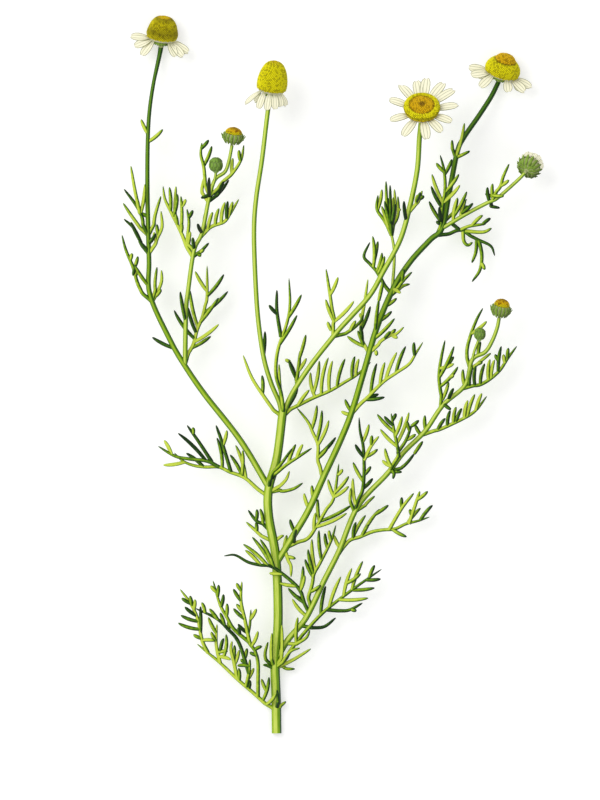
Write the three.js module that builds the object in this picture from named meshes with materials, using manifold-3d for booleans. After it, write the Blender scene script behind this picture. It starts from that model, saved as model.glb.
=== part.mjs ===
// A cut flowering stem of chamomile, laid down on a flat surface.
//
// The surface is z = 0. The stem runs along +Y from its cut end, its branches spread to both
// sides, and four open heads, three opening buds and two closed buds end the flower stalks.
// Lengths are millimetres. The plant is laid out on a plan: x to the right, y downwards, three
// plan units to the millimetre, with a height in millimetres beside each point of a stem.
import * as THREE from 'three';
import { mergeVertices } from 'three/addons/utils/BufferGeometryUtils.js';
import Module from 'manifold-3d';

const wasm = await Module();
wasm.setup();

// ---------------------------------------------------------------- driving dimensions
const UNITS_PER_MM = 3; // plan units in a millimetre
const PLAN_ORIGIN = [332, 374]; // plan point over the part's origin
const GAP = 0.3; // between pieces that touch
const EVEN = 0.11; // facets smaller than this are merged away
const STEM_STEP = 14; // longest straight stretch of a stem
const LOBE_RADIUS = 0.55; // half the width of a leaf lobe at its root
const RIB_RADIUS = 0.8; // half the width of a leaf's rib at the stem
const LOBE_ANGLE = 0.57; // radians between a lobe and the rib it leaves
const FLATTEN = 0.8; // thickness of ribs and lobes over their width
const FLORET = 0.22; // height of the florets' relief on a disc
const PLATE = 0.7; // thickness of the plate that carries a head's rays
const RAY_THICKNESS = 0.62;
const RAY_CUP = 0.18; // how far a ray's edges stand above its middle

const STEM_GREEN = 0x96be32;
const LEAF_GREEN = 0x4f8a24;
const BRACT_GREEN = 0x7fa34a;
const RAY_CREAM = 0xf4efd4;
const DISC_YELLOW = 0xdcc418;
const FLORET_ORANGE = 0xe2930f;

// ---------------------------------------------------------------- points and solids
const UP = new THREE.Vector3(0, 0, 1);
const ACROSS = new THREE.Vector3(1, 0, 0);

function onPlan(x, y, z) {
  return new THREE.Vector3((x - PLAN_ORIGIN[0]) / UNITS_PER_MM, (PLAN_ORIGIN[1] - y) / UNITS_PER_MM, z);
}

// 'x y, x y, ...' as pairs of numbers, or 'x y z, ...' as triples
function points(text) {
  return text.split(',').map((point) => point.trim().split(' ').map(Number));
}

function solidFrom(geometry) {
  geometry.deleteAttribute('normal');
  geometry.deleteAttribute('uv');
  const merged = mergeVertices(geometry, 1e-4);
  const index = Array.from(merged.index.array);
  const kept = [];
  for (let i = 0; i < index.length; i += 3) {
    const [a, b, c] = index.slice(i, i + 3);
    if (a !== b && b !== c && c !== a) kept.push(a, b, c);
  }
  const vertProperties = new Float32Array(merged.attributes.position.array);
  const mesh = new wasm.Mesh({ numProp: 3, vertProperties, triVerts: new Uint32Array(kept) });
  return new wasm.Manifold(mesh);
}

function geometryFrom(solid) {
  const mesh = solid.getMesh();
  const geometry = new THREE.BufferGeometry();
  const count = mesh.vertProperties.length / mesh.numProp;
  const position = new Float32Array(count * 3);
  for (let i = 0; i < count; i += 1) {
    for (let k = 0; k < 3; k += 1) position[i * 3 + k] = mesh.vertProperties[i * mesh.numProp + k];
  }
  geometry.setAttribute('position', new THREE.BufferAttribute(position, 3));
  geometry.setIndex(Array.from(mesh.triVerts));
  return geometry;
}

function fuse(solids) {
  let whole = solids[0];
  for (const solid of solids.slice(1)) whole = whole.add(solid);
  return whole;
}

function largestPiece(solid) {
  const pieces = solid.decompose();
  return pieces.reduce((best, piece) => (piece.volume() > best.volume() ? piece : best));
}

function aboveSurface(solid) {
  const slab = new THREE.BoxGeometry(400, 400, 20);
  slab.translate(0, 0, -10);
  return solid.subtract(solidFrom(slab));
}

// A closed cylinder or cone bent along a curve. Its section keeps one corner towards `facing`.
function bend(geometry, curve, radiusAt, facing, flatten) {
  const position = geometry.attributes.position;
  for (let i = 0; i < position.count; i += 1) {
    const t = Math.min(1, Math.max(0, position.getY(i) + 0.5));
    const centre = curve.getPoint(t);
    const tangent = curve.getTangent(t);
    const side = new THREE.Vector3().crossVectors(facing, tangent).normalize();
    const top = new THREE.Vector3().crossVectors(tangent, side);
    const angle = Math.atan2(position.getZ(i), position.getX(i));
    const onAxis = Math.hypot(position.getX(i), position.getZ(i)) < 1e-6;
    const radius = onAxis ? 0 : radiusAt(t);
    centre.addScaledVector(top, radius * Math.cos(angle) * flatten);
    centre.addScaledVector(side, radius * Math.sin(angle));
    position.setXYZ(i, centre.x, centre.y, centre.z);
  }
  return solidFrom(geometry);
}

// A lathed outline stood on `base` with its axis along `axis`
function stand(geometry, base, axis) {
  const forward = axis.clone().normalize();
  const side = ACROSS.clone().addScaledVector(forward, -ACROSS.dot(forward)).normalize();
  const back = new THREE.Vector3().crossVectors(forward, side);
  geometry.rotateX(Math.PI / 2);
  geometry.applyMatrix4(new THREE.Matrix4().makeBasis(side, back, forward).setPosition(base));
  return geometry;
}

// ---------------------------------------------------------------- what is already in place
// Balls along every placed stem, head, rib and lobe, so that later ones can bend clear.
const placed = [];

function ballsAlong(curve, radiusAt, from, to, count) {
  const balls = [];
  for (let i = 0; i < count; i += 1) {
    const t = from + ((to - from) * i) / Math.max(1, count - 1);
    balls.push({ at: curve.getPoint(t), radius: radiusAt(t) });
  }
  return balls;
}

// Whether balls stand clear of the surface, of other pieces, and past their root of their own
function isClear(balls, owner, ownReach) {
  return balls.every((ball, i) =>
    ball.at.z > ball.radius + 0.15 &&
    placed.every((other) => {
      const apart = ball.at.distanceTo(other.at) - ball.radius - other.radius;
      return other.owner === owner ? i < ownReach || apart > 0 : apart > GAP;
    }));
}

function keepPlace(balls, owner) {
  for (const ball of balls) placed.push({ ...ball, owner });
}

// ---------------------------------------------------------------- stems
// Every stem as 'x y height' points, with its width in millimetres at both ends. A neck is how
// much a stalk widens again under its head.
const STEMS = [
  { widths: [3.2, 2.9], sides: 7, path: `276.5 734 1.25, 276 700 1.3, 275 661 3.4, 278 620 4.8,
    276 560 6.4, 268.5 515 7.7, 268.8 488 8.5, 277 457 9.7, 283 409 11` },
  { widths: [2.1, 1.1], neck: 0.7, sides: 6, path: `269 488 8.5, 240 440 9, 205 395 9.6, 185 366 9.8, 170 340 10,
    150 295 10.3, 149 260 10.4, 147.5 200 9.8, 147.5 150 9, 149 115 7.6, 153 85 5.8, 159 56 3.4,
    161 44 2.4` },
  { widths: [1.6, 1.1], sides: 5, path: `185 364 9.8, 186 312 12, 188 292 12.6, 194 251 13.4,
    202 233 13.8, 209 199 14.4, 215 180 14.8, 225 172 15, 229 161 15, 232 146 15` },
  { widths: [0.9, 0.9], sides: 5, path: '213 186 14.8, 215 179 15.2, 216 172 15.5' },
  { widths: [1.6, 1.5], sides: 5, path: `281.5 414 10.8, 279 402 11.6, 271 383 12.4, 264 359 13.2,
    259 327 14, 256 291 14.6, 254 235 15.4, 256 200 15.8, 262 160 15.8, 267 118 14.2, 270.5 92 12.6` },
  { widths: [1.7, 1.7], sides: 5, path: `284 414 10.8, 288 402 11.4, 296 387 12, 313 362 12.8,
    337 332 13.6, 351 316.5 14.2, 370 295 15, 383 272 15.8, 400 240 17, 410 205 18.2, 417 170 19.2,
    419 140 20.2, 421 120 22.6, 421.5 112.5 24.6` },
  { widths: [2.3, 1.6], sides: 6, path: `277 562 6.2, 290 541 7.6, 308 511 8.6, 324 476 9.4,
    341 439 9.9, 352 411 10.2, 364 371 10.6, 377 327 11, 393 289 11.2, 410 262 11, 430 240 10.6,
    442 228 10.2, 449 194 9.6, 457 153 8.6, 463.5 138 8, 480 114 6.2, 491.5 96 4.2, 499.5 80 2.6` },
  { widths: [1.1, 0.9], sides: 5, path: '392 291 11.2, 394 266 10.4, 394 249 9.8, 391 232 9.4' },
  { widths: [1.4, 1.1], sides: 5, path: `441 229 10.2, 466 214 11, 487 203 11.8, 496 199 12,
    508 189 12.4, 521 177 12.7, 526 171 12.4` },
  { widths: [2.1, 1.2], sides: 6, path: `275 662 3.4, 288 640 4.4, 306 618 5.4, 324 581 6.4,
    339 551 7.2, 358 506 8.2, 387 474 9, 404 452 9.6, 425 431 10.2, 443 405 10.8, 465 385 11.4,
    472 360 11.8, 485 352 12, 492 341 12.2, 497 328 12.4, 499 318 12.5` },
  { widths: [0.9, 0.9], sides: 5, path: '471 366 11.7, 474 352 12.6, 478.5 340 13' },
];

function makeStem({ widths, neck = 0, sides, path }) {
  const route = points(path).map(([x, y, z]) => onPlan(x, y, z));
  const curve = new THREE.CatmullRomCurve3(route, false, 'catmullrom');
  const length = curve.getLength();
  const neckAt = (t) => neck * Math.max(0, (t - 0.85) / 0.15);
  const radiusAt = (t) => (widths[0] + (widths[1] - widths[0]) * t + neckAt(t)) / 2;
  return { curve, length, radiusAt, sides };
}

function stemSolid({ curve, length, radiusAt, sides }, extra) {
  const spans = curve.points.length - 1;
  const tube = new THREE.CylinderGeometry(1, 1, 1, sides, spans * Math.ceil(length / spans / STEM_STEP));
  return bend(tube, curve, (t) => radiusAt(t) + extra, ACROSS, 1);
}

const stems = STEMS.map(makeStem);
for (const stem of stems) {
  keepPlace(ballsAlong(stem.curve, stem.radiusAt, 0, 1, Math.ceil(stem.length / 0.8)), 'stem');
}
const stemsWithGap = fuse(stems.map((stem) => stemSolid(stem, GAP)));

// Nearest point of any stem to a place on the plan
function nearestStem(x, y) {
  let best = { distance: Infinity };
  for (const stem of stems) {
    const count = Math.ceil(stem.length);
    for (let i = 0; i <= count; i += 1) {
      const at = stem.curve.getPoint(i / count);
      const place = onPlan(x, y, at.z);
      const distance = at.distanceTo(place);
      if (distance < best.distance) {
        const tangent = stem.curve.getTangent(i / count);
        best = { distance, at, tangent, radius: stem.radiusAt(i / count) };
      }
    }
  }
  return best;
}

// ---------------------------------------------------------------- pieces of the plant
const plant = new THREE.Group();

function addPiece(name, solid, colour, roughness) {
  const material = new THREE.MeshStandardMaterial({ color: colour, roughness, metalness: 0 });
  const mesh = new THREE.Mesh(geometryFrom(largestPiece(solid.simplify(EVEN))), material);
  mesh.name = name;
  plant.add(mesh);
}

// ---------------------------------------------------------------- flower heads
// A lathed outline of [radius, height] points whose surface is raised in a chequer of florets
function floretDome(outline, around, rows) {
  const rim = outline[0][0];
  const spline = new THREE.SplineCurve(outline.map(([r, z]) => new THREE.Vector2(r, z)));
  const profile = [new THREE.Vector2(0, 0), new THREE.Vector2(rim * 0.8, 0), ...spline.getPoints(rows)];
  profile[profile.length - 1].x = 0;
  const geometry = new THREE.LatheGeometry(profile, around);
  const position = geometry.attributes.position;
  for (let i = 0; i < position.count; i += 1) {
    const column = Math.floor(i / profile.length) % around;
    const row = i % profile.length;
    const raised = row > 1 && row < profile.length - 1 && (column + row) % 2 === 0;
    const radius = Math.hypot(position.getX(i), position.getZ(i));
    if (raised) {
      const grow = 1 + FLORET / radius;
      position.setXYZ(i, position.getX(i) * grow, position.getY(i) + FLORET / 2, position.getZ(i) * grow);
    }
  }
  return geometry;
}

// A ribbed cup of bracts, whose rim rises to a point at every other rib
function bractCup(outline, ribs, relief) {
  const top = outline[outline.length - 1];
  const closed = [[0, outline[0][1]], ...outline, [0, top[1] - relief]];
  const profile = closed.map(([r, z]) => new THREE.Vector2(r, z));
  const geometry = new THREE.LatheGeometry(profile, ribs * 2);
  const position = geometry.attributes.position;
  for (let i = 0; i < position.count; i += 1) {
    const column = Math.floor(i / profile.length) % (ribs * 2);
    const row = i % profile.length;
    if (column % 2 === 0 && row > 1 && row < profile.length - 1) {
      const grow = 1 + relief / Math.hypot(position.getX(i), position.getZ(i));
      const lift = row === profile.length - 2 ? relief * 2 : 0;
      position.setXYZ(i, position.getX(i) * grow, position.getY(i) + lift, position.getZ(i) * grow);
    }
  }
  return geometry;
}

// A ray: a thin blade from the plate to its tip, widest past the middle, with a notched end. Its
// root lies flat in the plate and its tip is turned to `facing`.
function raySolid(from, to, rootFacing, facing, width) {
  const curve = new THREE.QuadraticBezierCurve3(
    from,
    from.clone().lerp(to, 0.5).addScaledVector(facing, from.distanceTo(to) * 0.1),
    to,
  );
  const outline = [[0, -0.34], [0.6, -1], [1, -0.64], [0.9, 0], [1, 0.64], [0.6, 1], [0, 0.34]];
  const shape = new THREE.Shape(outline.map(([t, u]) => new THREE.Vector2(t, u)));
  const blade = new THREE.ExtrudeGeometry(shape, { depth: 1, bevelEnabled: false });
  const position = blade.attributes.position;
  for (let i = 0; i < position.count; i += 1) {
    const t = position.getX(i);
    const u = position.getY(i);
    const centre = curve.getPoint(t);
    const tangent = curve.getTangent(t);
    const towards = rootFacing.clone().lerp(facing, Math.min(1, t * 1.4));
    const side = new THREE.Vector3().crossVectors(towards, tangent).normalize();
    const face = new THREE.Vector3().crossVectors(tangent, side);
    centre.addScaledVector(side, (u * width) / 2);
    centre.addScaledVector(face, (position.getZ(i) - 0.5) * RAY_THICKNESS + RAY_CUP * t * u * u);
    position.setXYZ(i, centre.x, centre.y, centre.z);
  }
  return solidFrom(blade);
}

// Each head: its base on the plan, the way it faces, the disc's outline from rim to top, and
// the tips of its rays as 'x y height above the base'
const HEADS = [
  {
    name: 'head_left', at: [161.6, 37, 4.35], axis: [0.13, 0.95, 0.3], plate: 3.7, ray: 2.8, twist: 0.75,
    disc: [[4.8, 0], [5.1, 1.4], [4.7, 3.2], [3.9, 5.2], [2.4, 6.7], [0, 7.2]],
    rays: `130 36 1.5, 133.5 46.5 2.6, 141 56 2.2, 176 57 2.4, 183.5 57 2.2, 189 52.5 1, 139 42 -3,
      184 50 -3.2`,
  },
  {
    name: 'head_tall', at: [271.4, 89, 12.2], axis: [0.13, 0.94, 0.3], plate: 3.7, ray: 2.6, twist: 0.2,
    disc: [[4.7, 0], [4.9, 1.5], [4.7, 3.8], [3.9, 6.6], [2.4, 8.8], [0, 9.7]],
    rays: `245 105 0.5, 258.5 109.5 1.4, 267 111.5 2.6, 275 110.5 2.8, 281 107.5 1.6, 286 106.5 -0.6,
      255 103 -2.4, 277 106 -3.6`,
  },
  {
    name: 'head_facing', at: [421.4, 110.7, 25.6], axis: [0, 0.678, 0.735], plate: 4.9, ray: 3.3, twist: 0,
    disc: [[5.5, 0], [5.9, 0.9], [5.85, 1.7], [5.3, 2.4], [4.6, 2.5], [4.1, 2.2], [2.4, 2.9], [0, 3.2]],
    rays: `416 80.7 -9.7, 426.5 78 -10.5, 444 83 -9, 454.2 90.3 -6.8, 458.5 106.6 -1.8, 451.5 123.6 3.5,
      441.5 134.8 6.9, 426 141.8 9.1, 402 138.9 8.2, 388.6 122.6 3.2, 388.4 100.5 -3.6, 400 85.5 -8.2`,
  },
  {
    name: 'head_right', at: [502, 72, 4.72], axis: [0.26, 0.87, 0.42], plate: 4.2, ray: 3, twist: 0.75,
    disc: [[5.6, 0], [5.8, 1.2], [5.4, 2.6], [4.4, 3.9], [3.5, 4.5], [3.2, 5.1], [2.2, 6.1], [0, 6.6]],
    rays: `468 67 1, 470 75 2.4, 479.5 87.5 2.8, 508.5 92.5 2.6, 525.5 92 2.2, 532.5 87.5 0.6,
      478 76 -3.2, 521 90 -3.4`,
  },
];

function raysOf({ at, axis, plate, ray, twist, rays }) {
  const forward = new THREE.Vector3(...axis).normalize();
  const base = onPlan(...at).addScaledVector(forward, -GAP - PLATE / 2);
  const disk = stand(new THREE.CylinderGeometry(plate, plate, PLATE, 12, 1), base, forward);
  const blades = points(rays).map(([x, y, rise]) => {
    const tip = onPlan(x, y, at[2] + rise);
    const outward = tip.clone().sub(base);
    outward.addScaledVector(forward, -outward.dot(forward)).normalize();
    const root = base.clone().addScaledVector(outward, plate - 0.7);
    const facing = forward.clone().multiplyScalar(1 - twist).addScaledVector(UP, twist);
    const away = tip.clone().sub(root).normalize();
    facing.addScaledVector(away, -facing.dot(away)).normalize();
    return raySolid(root, tip, forward, facing, ray);
  });
  return fuse([solidFrom(disk), ...blades]);
}

for (const head of HEADS) {
  const forward = new THREE.Vector3(...head.axis).normalize();
  const base = onPlan(...head.at);
  const dome = solidFrom(stand(floretDome(head.disc, 16, 6), base, forward));
  addPiece(`${head.name}_disc`, aboveSurface(dome), DISC_YELLOW, 0.75);
  const rays = aboveSurface(raysOf(head)).subtract(stemsWithGap);
  addPiece(`${head.name}_rays`, rays, RAY_CREAM, 0.6);
  const cupBase = base.clone().addScaledVector(forward, -2 * GAP - PLATE - 1.3);
  const cup = bractCup([[0.9, 0], [head.plate - 1.7, 0.45], [head.plate - 1.4, 0.9]], 5, 0.15);
  const bracts = solidFrom(stand(cup, cupBase, forward)).subtract(stemsWithGap);
  addPiece(`${head.name}_bracts`, bracts, BRACT_GREEN, 0.6);
  const middle = base.clone().addScaledVector(forward, head.disc[head.disc.length - 1][1] * 0.4);
  keepPlace([{ at: middle, radius: head.disc[0][0] }], head.name);
}

// ---------------------------------------------------------------- buds
const BUDS = [
  { name: 'bud_left', at: [232.3, 142.5, 15], axis: [0.15, 0.96, 0.25],
    radius: 3.5, height: 3.3, top: 1.5, colour: FLORET_ORANGE },
  { name: 'bud_right', at: [499.5, 315.5, 12.6], axis: [0.2, 0.95, 0.25],
    radius: 3.3, height: 3.7, top: 1.7, colour: FLORET_ORANGE },
  { name: 'bud_white', at: [526.4, 170.3, 12.2], axis: [0.4, 0.53, -0.75],
    radius: 3.9, height: 3.4, top: 2.2, spread: 1.12, colour: RAY_CREAM },
];

for (const bud of BUDS) {
  const forward = new THREE.Vector3(...bud.axis).normalize();
  const base = onPlan(...bud.at);
  const { radius, height } = bud;
  const belly = [[radius * 0.8, height * 0.2], [radius, height * 0.55], [radius * 0.84, height]];
  const outline = [[0.7, -0.3], ...belly];
  const cup = solidFrom(stand(bractCup(outline, 7, 0.3), base, forward)).subtract(stemsWithGap);
  addPiece(`${bud.name}_bracts`, cup, BRACT_GREEN, 0.6);
  const lid = base.clone().addScaledVector(forward, height + GAP + 0.35);
  const spread = bud.spread ?? 1;
  const rim = [[radius * 0.74, 0], [radius * 0.78 * spread, bud.top * 0.35]];
  const florets = [...rim, [radius * 0.5 * spread, bud.top * 0.85], [0, bud.top]];
  const top = solidFrom(stand(floretDome(florets, 12, 3), lid, forward));
  addPiece(`${bud.name}_top`, top, bud.colour, 0.7);
  const middle = base.clone().addScaledVector(forward, height * 0.6);
  keepPlace([{ at: middle, radius: radius + 0.4 }], bud.name);
}

const CLOSED_BUDS = [
  { name: 'bud_closed_left', at: [216, 171, 15.5], axis: [0, 0.97, 0.2], radius: 2.3 },
  { name: 'bud_closed_right', at: [479, 339, 13.1], axis: [0.15, 0.96, 0.2], radius: 1.9 },
];

for (const { name, at, axis, radius } of CLOSED_BUDS) {
  const forward = new THREE.Vector3(...axis).normalize();
  const round = [[0.6, 0], [0.85, 0.35], [1, 0.9], [0.72, 1.6], [0.3, 1.95]];
  const outline = round.map(([r, z]) => [r * radius, z * radius]);
  const cup = solidFrom(stand(bractCup(outline, 6, 0.16), onPlan(...at), forward));
  const ball = cup.subtract(stemsWithGap);
  addPiece(name, ball, BRACT_GREEN, 0.7);
  keepPlace([{ at: onPlan(...at).addScaledVector(forward, radius), radius: radius + 0.2 }], name);
}

// ---------------------------------------------------------------- leaves
// A leaf is a rib with lobes, or several ribs joined by a sheath round the stem. Each rib is a
// row of 'x y' points from the stem or from another rib outwards, `tips` are the ends of its
// lobes, and `lift` is how far its end rises above its root.
const LEAVES = [
  {
    name: 'leaf_foot', sheath: '272.5 706', ribs: [
      { lift: 7, path: '272 706, 253 693, 238 680, 220 663, 208 653, 197 644', tips: `178 623, 181 615,
        193 635` },
      { lift: 4, path: '208 653, 202 640, 198 620, 191 604, 180 589', tips: `181 598, 190 596, 195 600,
        184 606` },
      { lift: 2, path: '220 663, 217 650, 216 639, 217 624', tips: '224 638' },
      { lift: 3, path: '237 679, 234 663, 231 650, 232 641', tips: '239 650' },
      { lift: 3, path: '246 687, 249 672, 250 659', tips: '255 667' },
      { lift: 9, path: '258 697, 258 680, 258 663, 255 651, 248 640, 250 624, 251 609', tips: `257 609,
        257 631, 262 646` },
      { lift: 5, path: '249 674, 239 643, 228 629, 216 618, 195 608', tips: '202 602, 210 609, 220 613' },
      { lift: 4, path: '249 642, 234 629, 227 617, 220 604, 213 580', tips: `218 585, 223 594, 211 585,
        227 603` },
      { lift: 6, path: '250 644, 245 620, 241 600, 242 581', tips: '237 582, 234 588, 234 608, 238 623' },
      { lift: 1, path: '273 706, 280 707, 286 702' },
      { lift: 3, path: '273 706, 278 700, 277 690' },
    ],
  },
  {
    name: 'leaf_branching', sheath: '275 665', ribs: [
      { lift: 5, path: '277 664, 291 650, 306 631, 325 611, 348 593, 366 580, 382 569', tips: `375 565,
        381 579, 340 577, 326 586, 352 568, 363 561, 375 588, 368.5 598, 298 617` },
      { lift: -2, path: '327 610, 340 611, 350 610, 363 603', tips: '357 611' },
      { lift: -2, path: '309 628, 324 627, 336 618' },
      { lift: 2, path: '295 645, 306 638, 310 630' },
      { lift: 3, path: '275 665, 265 655, 268 642' },
      { lift: 3, path: '275 664, 271 650, 272 633' },
      { lift: 4, path: '276 664, 282 650, 282 625' },
      { lift: 1, path: '275 665, 263 665' },
      { lift: 5, path: '277 664, 290 652, 300 648' },
      { lift: 0, path: '277 665, 295 659, 311 649' },
      { lift: -1, path: '276 666, 286 669, 295 669.5' },
    ],
  },
  {
    name: 'leaf_across', sheath: '307 606', ribs: [
      { lift: 5, path: '307 606, 299 589, 280 572, 270 566, 260 565, 248 562, 235 555, 223.5 556',
        tips: `243 544, 252 537, 260 539, 245 550, 279 583, 288 588, 295.5 595, 292 599, 269 573,
        303 566` },
      { lift: 3, path: '308 605, 312 585, 314 574, 320 563, 331 541, 336 525', tips: `308 549, 305 559,
        312 539, 319 530, 325 533, 329 530` },
    ],
  },
  { name: 'leaf_small', ribs: [{ lift: 1, path: '284 553, 289 562, 291 567, 291 577',
    tips: '296 559' }] },
  {
    name: 'leaf_behind', sheath: '274 538', ribs: [
      { lift: -1, path: '274 539, 257 532, 246 522' },
      { lift: 1, path: '271 528, 263 524, 256 520.5, 248 510', tips: '257 509, 260 509' },
      { lift: 0, path: '275 538, 284 535.5' },
    ],
  },
  {
    name: 'leaf_third_low', ribs: [
      { lift: 3, path: '292 546, 307 539, 316 527, 326 510, 334 497, 339 463', tips: `343 469, 349 476,
        349 486, 352 505, 347 513, 328 479, 318 499, 315 513` },
    ],
  },
  {
    name: 'leaf_third_mid', ribs: [
      { lift: -3, path: '323 477, 318 461, 318 445, 313 433, 308 422, 297 408', tips: `317 405, 322 410,
        329 420, 336 437, 329 445, 343 454` },
    ],
  },
  {
    name: 'leaf_fork_left', sheath: '268.5 492', ribs: [
      { lift: 3, path: '268.5 492, 245 478, 230 472, 219 467, 206 467, 194 465.5, 183 461, 174 452.5',
        tips: '163 465, 186 453, 217 438, 230 454.5, 235.5 445, 242 449' },
      { lift: 2, path: '219 467, 207 461, 190 459, 175 456, 158 446', tips: '178 433, 164 440' },
      { lift: 2, path: '212 462, 199 442, 187 425', tips: '193 427' },
      { lift: 3, path: '231 472, 222 442, 216 425', tips: '227 430' },
    ],
  },
  {
    name: 'leaf_fork_right', sheath: '269 483', ribs: [
      { lift: 4, path: '268.5 486, 272 474, 281 464, 292.5 448' },
      { lift: 5, path: '273 476, 286 465, 298 457, 312 448', tips: '296 444, 303 444' },
      { lift: 2, path: '269 489, 279 486.5, 286 479.5, 289.5 471' },
      { lift: 0, path: '269 490, 281 491, 293 489, 303 483' },
    ],
  },
  {
    name: 'leaf_crown_left', sheath: '282 413', ribs: [
      { lift: 5, path: '284 414, 281 393, 276 374, 278 350, 287 323, 290 304, 289 278', tips: `301 295,
        298 315` },
      { lift: 2, path: '281 337, 277 311, 277 290', tips: '269 305' },
      { lift: 3, path: '281 413, 265 398, 252 378, 243 355', tips: '262 375' },
      { lift: -3, path: '283 412, 280 387, 279 364' },
      { lift: -4, path: '284 412, 296 392, 295 374, 289 359', tips: '285 359, 299.5 351, 306 359' },
    ],
  },
  {
    name: 'leaf_crown_right', ribs: [
      { lift: -2, path: '282 414, 297 406, 313 398, 329.5 391, 345 382, 358 374, 371 362',
        tips: '311 373, 319 360, 329 357, 333 360, 345 359, 354 357, 359 359, 310 390' },
    ],
  },
  {
    name: 'leaf_facing_side', sheath: '335 335', ribs: [
      { lift: 2, path: '335 335, 334 320, 332 309, 330 295, 328 282, 326 269', tips: `338 277, 325 299,
        354 301, 327 322` },
      { lift: -2, path: '336 335, 351 330, 360 322, 363 315', tips: '356 320' },
    ],
  },
  { name: 'leaf_facing_top', ribs: [{ lift: 1, path: '408 209, 418 202, 422 191', tips: `424 196,
    415 195` }] },
  {
    name: 'leaf_third_upper', ribs: [
      { lift: 2, path: '352 411, 368 397, 383 382, 396 373, 409 364, 416 353, 423 342', tips: `353 388,
        366 375, 377 363, 385 362, 397 352, 406 346, 414 342, 379 394, 385 397` },
    ],
  },
  {
    name: 'leaf_third_pair', sheath: '369.5 350', ribs: [
      { lift: 2, path: '370 350, 380 342, 389 336, 396 334, 404 327', tips: `394 318, 396 329, 398 338,
        378 355` },
      { lift: -3, path: '369 350, 361 334, 362 318, 365 300, 368 279', tips: '360 313, 347 336' },
    ],
  },
  {
    name: 'leaf_third_top', sheath: '392 292', ribs: [
      { lift: -1, path: '392 292, 377 272, 370 264, 364 256, 370 242', tips: `372 235, 378 240, 382 251,
        384 256` },
      { lift: -2, path: '393 292, 403 286, 410 284' },
      { lift: 3, path: '393 291, 403 281, 412 272', tips: '404 269' },
    ],
  },
  {
    name: 'shoot_tip', ribs: [
      { lift: 0, path: '391 229, 384 220, 377 209, 378 195', tips: '382 189' },
      { lift: 1, path: '391 229, 387 205, 386 181' },
      { lift: 2, path: '391 229, 390.5 208, 390 185' },
      { lift: 0, path: '391 229, 395 210, 394.5 189' },
      { lift: -1, path: '391 229, 398 215, 398 196', tips: '400 208' },
    ],
  },
  {
    name: 'leaf_right_upright', ribs: [
      { lift: 3.5, path: '440 230, 442 209, 445 190, 444 171, 440 155', tips: `436 163, 432 174,
        431 186, 429 201, 438 207, 436 221, 452 159, 459 174, 460 185, 467 192` },
    ],
  },
  {
    name: 'leaf_right_droop', sheath: '438 232', ribs: [
      { lift: -3, path: '439 232, 453 213, 460 206, 467 199', tips: '458 198, 469 206, 473 203' },
      { lift: -2, path: '439 232, 460 230, 471 236, 479 240, 491 246, 495 256' },
      { lift: 1, path: '460 230, 470 226, 486 224', tips: '483 215, 491 218' },
      { lift: -1, path: '465 231, 483 232, 492 228' },
      { lift: -2, path: '463 231, 464 241, 468 245, 473 242' },
      { lift: -3, path: '477 239, 476 252, 472 263' },
      { lift: -2, path: '479 240, 482 255, 480 270, 472 282', tips: '485 270' },
    ],
  },
  {
    name: 'leaf_white_stalk', sheath: '494 200', ribs: [
      { lift: 3, path: '495 200, 500 187, 503 177, 509 164', tips: '487 187, 493 183, 509 180, 504 196' },
      { lift: 0, path: '494 200, 485 194' },
      { lift: -2, path: '494 201, 491 206, 500 208' },
    ],
  },
  {
    name: 'leaf_right_stalk', sheath: '457 153', ribs: [
      { lift: 2, path: '457 153, 462 137, 464.5 123' },
      { lift: 0, path: '457 153, 452 140' },
      { lift: -1, path: '457 153, 464 154, 470 151' },
    ],
  },
  {
    name: 'leaf_left_open', ribs: [
      { lift: -4, path: '183 363, 193 345, 197 330, 202 318, 205 306, 207 296, 207 265', tips: `195 271,
        224 274, 190 290, 188 307, 219 298, 228 291, 219 324, 211 336, 174 310` },
    ],
  },
  {
    name: 'leaf_left_second', sheath: '150.5 297', ribs: [
      { lift: 2, path: '150 297, 138 284, 133 267, 126 250, 122 235', tips: '132 253, 138 256, 137 270' },
      { lift: -2, path: '151 297, 158 291, 161.5 281, 161.5 270' },
      { lift: -1, path: '151 297, 155 283, 157 267' },
    ],
  },
  {
    name: 'leaf_left_third', sheath: '149 252', ribs: [
      { lift: 3, path: '149 252, 135 230, 124 219', tips: '139 239' },
      { lift: 1, path: '149 252, 157 239, 162 227, 161 211', tips: '157 224, 154 232' },
    ],
  },
  {
    name: 'leaf_left_fourth', sheath: '148 230', ribs: [
      { lift: 2, path: '148 230, 142 217, 136 205, 124 189', tips: '145 184' },
      { lift: -2, path: '148 230, 131 215, 123 203' },
      { lift: 4, path: '140 213, 135 190, 131 166' },
      { lift: 0, path: '148 230, 155 216, 161 196' },
    ],
  },
  {
    name: 'leaf_second_low', sheath: '194.5 252', ribs: [
      { lift: -3, path: '194 252, 183 237, 178 226, 171 212, 165 199, 163 186', tips: `169 187,
        190 236` },
      { lift: -1, path: '175 219, 175 204, 176 186' },
      { lift: 1, path: '181 232, 182 214, 181 196', tips: '186 199' },
      { lift: 0, path: '187 243, 189 222, 187 209', tips: '193 210' },
      { lift: 0, path: '195 252, 209 243' },
    ],
  },
  {
    name: 'leaf_second_mid', ribs: [
      { lift: -2, path: '201 234, 213 226, 224 222, 230 214, 239 199', tips: `206 210, 213 212, 219 208,
        225 202, 233 201` },
    ],
  },
  {
    name: 'leaf_second_upper', sheath: '209 200', ribs: [
      { lift: -2, path: '209 200, 222 190, 229 180' },
      { lift: 1, path: '209 200, 201 198' },
      { lift: 0, path: '209 200, 202 191, 204 178' },
    ],
  },
  {
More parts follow.
